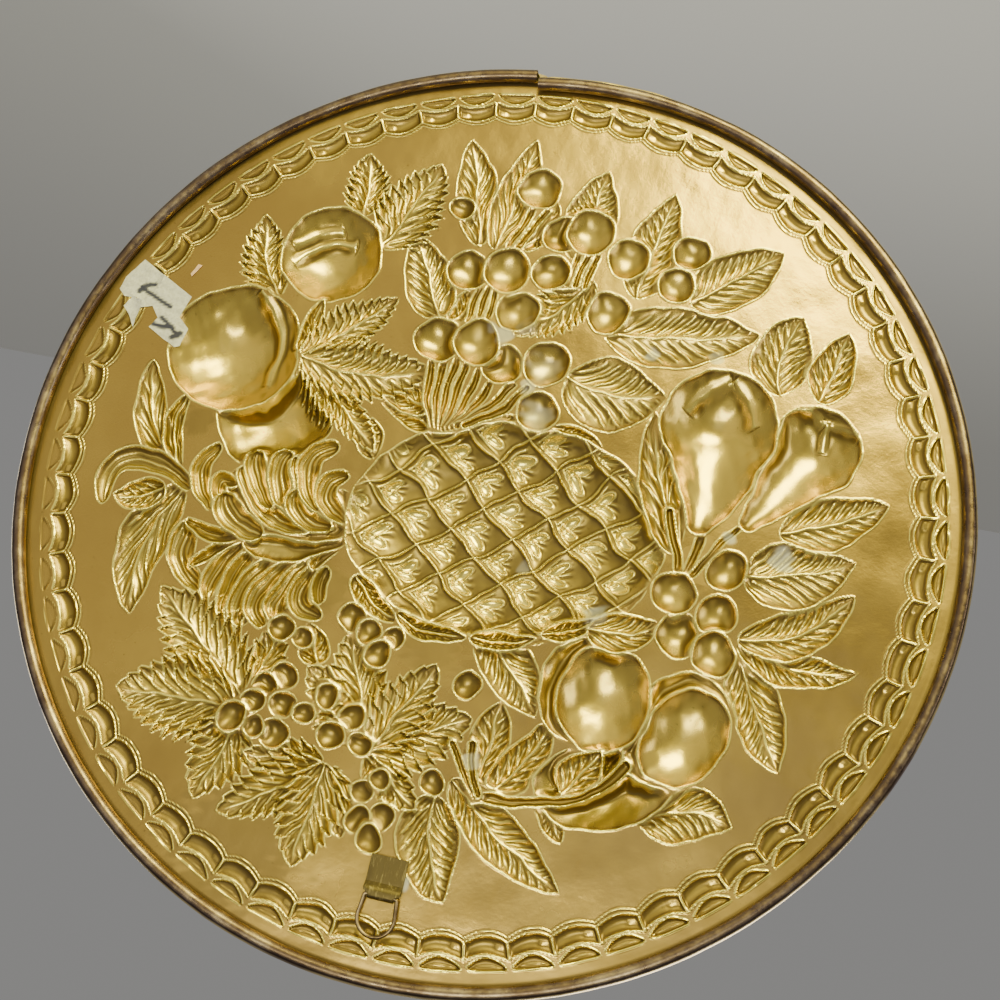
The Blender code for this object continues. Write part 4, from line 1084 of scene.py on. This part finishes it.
def make_strap(material):
    """The strip folded over the ring's bar: a rounded flat section swept down, round and down again."""
    foot = SHEET_THICKNESS / 2 + FACE_GAP - RING_DEPTH
    eye = RING_WIRE / 2 + WIRE_PLAY
    half = STRAP_THICKNESS / 2
    shoulder = BAR_LEVEL - RING_WIRE / 2 - WIRE_PLAY
    end = shoulder - STRAP_LENGTH
    crease = shoulder - 2 * (eye + STRAP_THICKNESS)
    low = foot + STRAP_THICKNESS * 1.5
    turn = np.radians(np.linspace(178, 0, 13))
    rise = np.linspace((foot + half, end), (foot + half, BAR_LEVEL), 12, endpoint=False)
    round_bar = np.stack([np.cos(turn), np.sin(turn)], axis=1) * (eye + half) + np.array([0, BAR_LEVEL])
    fall = [(eye + half, shoulder)]
    pinch = np.linspace((eye + half, shoulder - eye), (low, crease), 4)
    foot_side = np.linspace((low, crease), (low, end), 15)[1:]
    path = np.concatenate([rise, round_bar, fall, pinch, foot_side])
    wide = ease(shoulder - path[:, 1], -0.0006, 0.0002)
    half_width = (TONGUE_WIDTH + (STRAP_WIDTH - TONGUE_WIDTH) * wide) / 2
    ahead = directions(path)
    out = np.stack([-ahead[:, 1], ahead[:, 0]], axis=1)
    across = np.linspace(-1, 1, STRAP_SEGMENTS + 1)
    lip = 0.00018 * np.clip((np.abs(across) - 0.86) / 0.14, 0, 1)**2 * (across > 0)
    edge = 1 - 0.45 * (np.abs(across) > 0.99)
    faces = [np.stack([across, side * half * edge + lip], axis=1)[::side] for side in (1, -1)]
    loop = np.concatenate(faces)
    x = loop[None, :, 0] * half_width[:, None]
    y, z = (path[:, k:k + 1] + out[:, k:k + 1] * loop[None, :, 1] for k in (0, 1))
    points = np.stack([x, y, z], axis=2).reshape(-1, 3)
    index = np.arange(len(points)).reshape(len(path), len(loop))
    faces = grid_triangles(index[:-1], index[1:]).tolist() + [index[0].tolist(), index[-1].tolist()]
    mesh = shell("hanger_strap_fine", points, faces)
    mesh.shade_smooth()
    mesh.set_sharp_from_angle(angle=math.radians(40))
    return add_piece("hanger_strap_fine", mesh, material)


def make_ring(material):
    """The wire ring, round above and closed by a straight bar inside the strap's fold."""
    reach = RING_DIAMETER / 2 - RING_WIRE / 2
    middle = -RING_DIAMETER / 2 + RING_WIRE
    bar_half = TONGUE_WIDTH / 2 + RING_WIRE / 2 + 2 * WIRE_PLAY
    corner = RING_CORNER * RING_WIRE
    side = math.acos(min(0.98, (bar_half + corner) / reach))
    turn = np.linspace(-side, math.pi + side, RING_STATIONS)
    path = [(reach * math.cos(a), 0, middle + reach * math.sin(a)) for a in turn]
    low = middle - RING_BAR_DROP
    for sign, start in ((-1, 180), (1, 270)):
        for a in np.radians(np.linspace(start, start + 90, CORNER_STATIONS)):
            x = sign * (bar_half - corner) + corner * math.cos(a)
            path.append((x, 0, low + corner + corner * math.sin(a)))
    mesh = build_mesh("hanging_ring_fine", *tube(np.array(path), RING_WIRE / 2, RING_SEGMENTS, True), {})
    return add_piece("hanging_ring_fine", mesh, material)


# Finishes

class Finish:
    """A material made of nodes. A value is a number, a colour or what another node gives."""

    def __init__(self, name, metallic=1.0):
        self.material = bpy.data.materials.new(name)
        self.material.use_nodes = True
        self.tree = self.material.node_tree
        self.shader = self.tree.nodes["Principled BSDF"]
        self.shader.inputs["Metallic"].default_value = metallic
        self.place = self.node("ShaderNodeTexCoord", {}).outputs["Object"]

    def feed(self, socket, value):
        if isinstance(value, (int, float)):
            socket.default_value = value
        elif isinstance(value, tuple):
            socket.default_value = (*value, 1.0)[:len(socket.default_value)]
        else:
            self.tree.links.new(value, socket)

    def node(self, kind, inputs, **settings):
        made = self.tree.nodes.new(kind)
        for key, value in settings.items():
            setattr(made, key, value)
        for key, value in inputs.items():
            self.feed(made.inputs[key], value)
        return made

    def noise(self, scale, detail=3.0, roughness=0.5, place=None):
        inputs = {"Scale": scale, "Detail": detail, "Roughness": roughness, "Vector": place or self.place}
        return self.node("ShaderNodeTexNoise", inputs).outputs["Fac"]

    def spread(self, value, low, high, to_low=0.0, to_high=1.0):
        inputs = {"Value": value, "From Min": low, "From Max": high, "To Min": to_low, "To Max": to_high}
        return self.node("ShaderNodeMapRange", inputs, interpolation_type="SMOOTHSTEP").outputs["Result"]

    def sums(self, kind, first, second):
        return self.node("ShaderNodeMath", {0: first, 1: second}, operation=kind).outputs["Value"]

    def times(self, first, second):
        return self.sums("MULTIPLY", first, second)

    def rest(self, value):
        return self.sums("SUBTRACT", 1.0, value)

    def blend(self, share, first, second):
        made = self.node("ShaderNodeMix", {}, data_type="RGBA")
        for key, value in (("Factor", share), ("A", first), ("B", second)):
            self.feed(made.inputs[key], value)
        return made.outputs["Result"]

    def measure(self, name):
        """A named value of the mesh's points."""
        return self.node("ShaderNodeAttribute", {}, attribute_name=name).outputs["Fac"]

    def finish(self, colour, roughness, height=None, strength=0.0, distance=0.0):
        self.feed(self.shader.inputs["Base Color"], colour)
        self.feed(self.shader.inputs["Roughness"], roughness)
        if height:
            inputs = {"Strength": strength, "Distance": distance, "Height": height}
            self.feed(self.shader.inputs["Normal"], self.node("ShaderNodeBump", inputs).outputs["Normal"])
        return self.material


def sheet_material():
    made = Finish("Aged pressed brass")
    clouds = made.noise(CLOUDS, 4.0, 0.6)
    proud, shine, smudge = (made.measure(name) for name in ("proud", "shine", "smudge"))
    field = made.blend(clouds, BRASS_BROWN, BRASS_GOLD)
    colour = made.blend(made.spread(made.measure("pressed"), 0.3, 3.0), field, BRASS_YELLOW)
    # Painted highlight: ridges and the motifs' highlight areas lightened to bright brass
    ridge = made.sums("MAXIMUM", made.spread(proud, *RIDGE_RANGE), made.times(shine, 0.72))
    colour = made.blend(ridge, colour, HIGHLIGHT_BRASS)
    # Painted shade: crevices darkened, except under the painted highlight
    off_highlight = made.sums("MAXIMUM", made.rest(shine), 0.0)
    crevice = made.times(made.spread(proud, *CREVICE_RANGE), made.times(off_highlight, 0.8))
    colour = made.blend(crevice, colour, BRASS_DARK)
    spots = made.times(made.spread(made.noise(SPECKLE, 3.0, 0.6), 0.66, 0.74), 0.5)
    colour = made.blend(spots, colour, BRASS_DARK)
    # Dirt and painted shade darken the colour, less on the ridges
    darkened = made.times(made.measure("dirt"), made.rest(made.times(ridge, 0.7)))
    colour = made.blend(made.times(darkened, 0.85), colour, DIRT_AND_SHADE_BROWN)
    colour = made.blend(made.times(smudge, 0.8), colour, SMUDGE_GREY)
    made.feed(made.shader.inputs["Metallic"], made.spread(smudge, 0.0, 1.0, METALLIC, SMUDGE_METALLIC))
    rough = made.spread(clouds, 0.3, 0.7, *SHEET_ROUGHNESS)
    rough = made.sums("ADD", rough, made.times(crevice, CREVICE_ROUGHNESS))
    rough = made.sums("ADD", rough, made.times(made.sums("MAXIMUM", darkened, smudge), DIRT_AND_SHADE_ROUGHNESS))
    brushed = made.sums("ADD", made.noise(BRUSHING[0], 4.0, 0.6), made.times(made.noise(BRUSHING[1]), 1.5))
    return made.finish(colour, rough, brushed, 0.25, 0.0004)


def brown_material(name, colour, worn, roughness):
    made = Finish(name)
    clouds = made.noise(60.0, 4.0, 0.6)
    shade = made.blend(made.spread(clouds, 0.35, 0.7), colour, worn)
    return made.finish(shade, made.spread(clouds, 0.3, 0.7, roughness, roughness + 0.12))


def roll_material():
    """Browned brass with its outermost strip worn back to brass, and painted shade in the crease beside it.
    """
    made = Finish("Browned brass")
    streaks = made.noise(240.0, 3.0, 0.6)
    colour = made.blend(made.spread(made.noise(55.0, 5.0, 0.65), 0.42, 0.75), ROLL_BROWN, ROLL_WORN)
    shown = made.times(made.measure("strip"), made.spread(made.noise(22.0), 0.30, 0.46))
    colour = made.blend(shown, colour, STRIP_BRASS)
    # Painted shade in the crease
    colour = made.blend(made.times(made.measure("crease"), 0.9), colour, CREASE_SHADE)
    rough = made.sums("ADD", made.spread(streaks, 0.3, 0.7, 0.26, 0.42), made.times(shown, -0.06))
    return made.finish(colour, rough, streaks, 0.3, 0.0003)


def strap_material():
    """Dull brown strip with scratches along it."""
    made = Finish("Strap patina")
    along = made.node("ShaderNodeMapping", {"Vector": made.place, "Scale": (1.0, 1.0, 0.18)})
    marks = made.noise(900.0, 4.0, 0.65, along.outputs["Vector"])
    shown = made.times(made.spread(marks, 0.5, 0.68), made.spread(made.noise(210.0, 3.0, 0.6), 0.35, 0.6))
    colour = made.blend(shown, STRAP_BROWN, STRAP_WORN)
    return made.finish(colour, made.spread(marks, 0.3, 0.7, 0.40, 0.55), marks, 0.35, 0.0002)


def paper_material(name, colour):
    made = Finish(name, 0.0)
    fibres = made.noise(700.0, 4.0, 0.6)
    shade = made.blend(made.spread(fibres, 0.4, 0.65), colour, tuple(0.8 * value for value in colour))
    return made.finish(made.blend(made.measure("ink"), shade, PEN_BLUE), 0.75, fibres, 0.2, 0.0002)


def make_sheet(material):
    busy = busy_map()
    back = Surface(ring_plan(busy, BACK_STEP, BORDER_BACK_SEGMENTS, BORDER_BACK_STEP), 1)
    front = Surface(ring_plan(busy, FRONT_STEP, BORDER_FRONT_SEGMENTS, BORDER_FRONT_STEP), -1)
    edges = (0.0,) + PIECE_EDGES + (FIELD_EDGE, PLATE_RADIUS / SCALE)
    pieces = []
    for name, low, high in zip(SHEET_PIECES, edges, edges[1:]):
        pieces.append(sheet_piece(name, back, front, low, high, material))
    return pieces


# Light, floor and camera

def add_area(name, direction, distance, size, power, colour):
    light = bpy.data.lights.new(name, "AREA")
    light.shape = "RECTANGLE"
    light.size, light.size_y = size
    light.energy = power
    light.color = colour
    lamp = add_object(name, light)
    way = Vector(direction).normalized()
    lamp.location = MIDDLE + way * distance
    lamp.rotation_euler = way.to_track_quat("Z", "Y").to_euler()


def add_camera():
    camera = bpy.data.cameras.new("Photo view")
    camera.lens = CAMERA_LENS
    camera.sensor_width = 36.0
    holder = add_object("Photo view", camera)
    aim = (Vector(CAMERA_AIM) - Vector(CAMERA_AT)).to_track_quat("-Z", "Y")
    roll = Matrix.Rotation(-math.radians(CAMERA_ROLL), 4, "Z")
    holder.matrix_world = Matrix.Translation(CAMERA_AT) @ aim.to_matrix().to_4x4() @ roll
    bpy.context.scene.camera = holder


def add_surroundings():
    world = bpy.data.worlds.new("Studio")
    world.use_nodes = True
    back = world.node_tree.nodes["Background"]
    back.inputs["Color"].default_value = (*WORLD_COLOUR, 1.0)
    back.inputs["Strength"].default_value = WORLD_STRENGTH
    bpy.context.scene.world = world
    for row in LIGHTS:
        add_area(*row)
    mesh = bpy.data.meshes.new("floor")
    signs = ((-1, -1), (1, -1), (1, 1), (-1, 1))
    corners = [(x * FLOOR_HALF, y * FLOOR_HALF, FLOOR_HEIGHT) for x, y in signs]
    mesh.from_pydata(corners, [], [range(4)])
    mesh.materials.append(Finish("Pale floor", 0.0).finish(FLOOR_COLOUR, 0.8))
    floor = add_object("floor", mesh)


brass = sheet_material()
pieces = make_sheet(brass)
pieces.append(make_roll(roll_material()))
pieces += make_torn_edge(brown_material("Torn brass", STRIP_BRASS, BRASS_YELLOW, 0.28))
for piece in pieces:
    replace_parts(piece, "plaque")
paper("torn_label", LABEL, PEN_STROKES, paper_material("Paper", PAPER_WHITE))
paper("paper_scrap", SCRAP, (), paper_material("Pink paper", PAPER_PINK))
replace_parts(make_strap(strap_material()), "hanger_strap")
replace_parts(make_ring(brown_material("Dark wire", WIRE_DARK, WIRE_WORN, 0.30)), "hanging_ring")
add_surroundings()
add_camera()
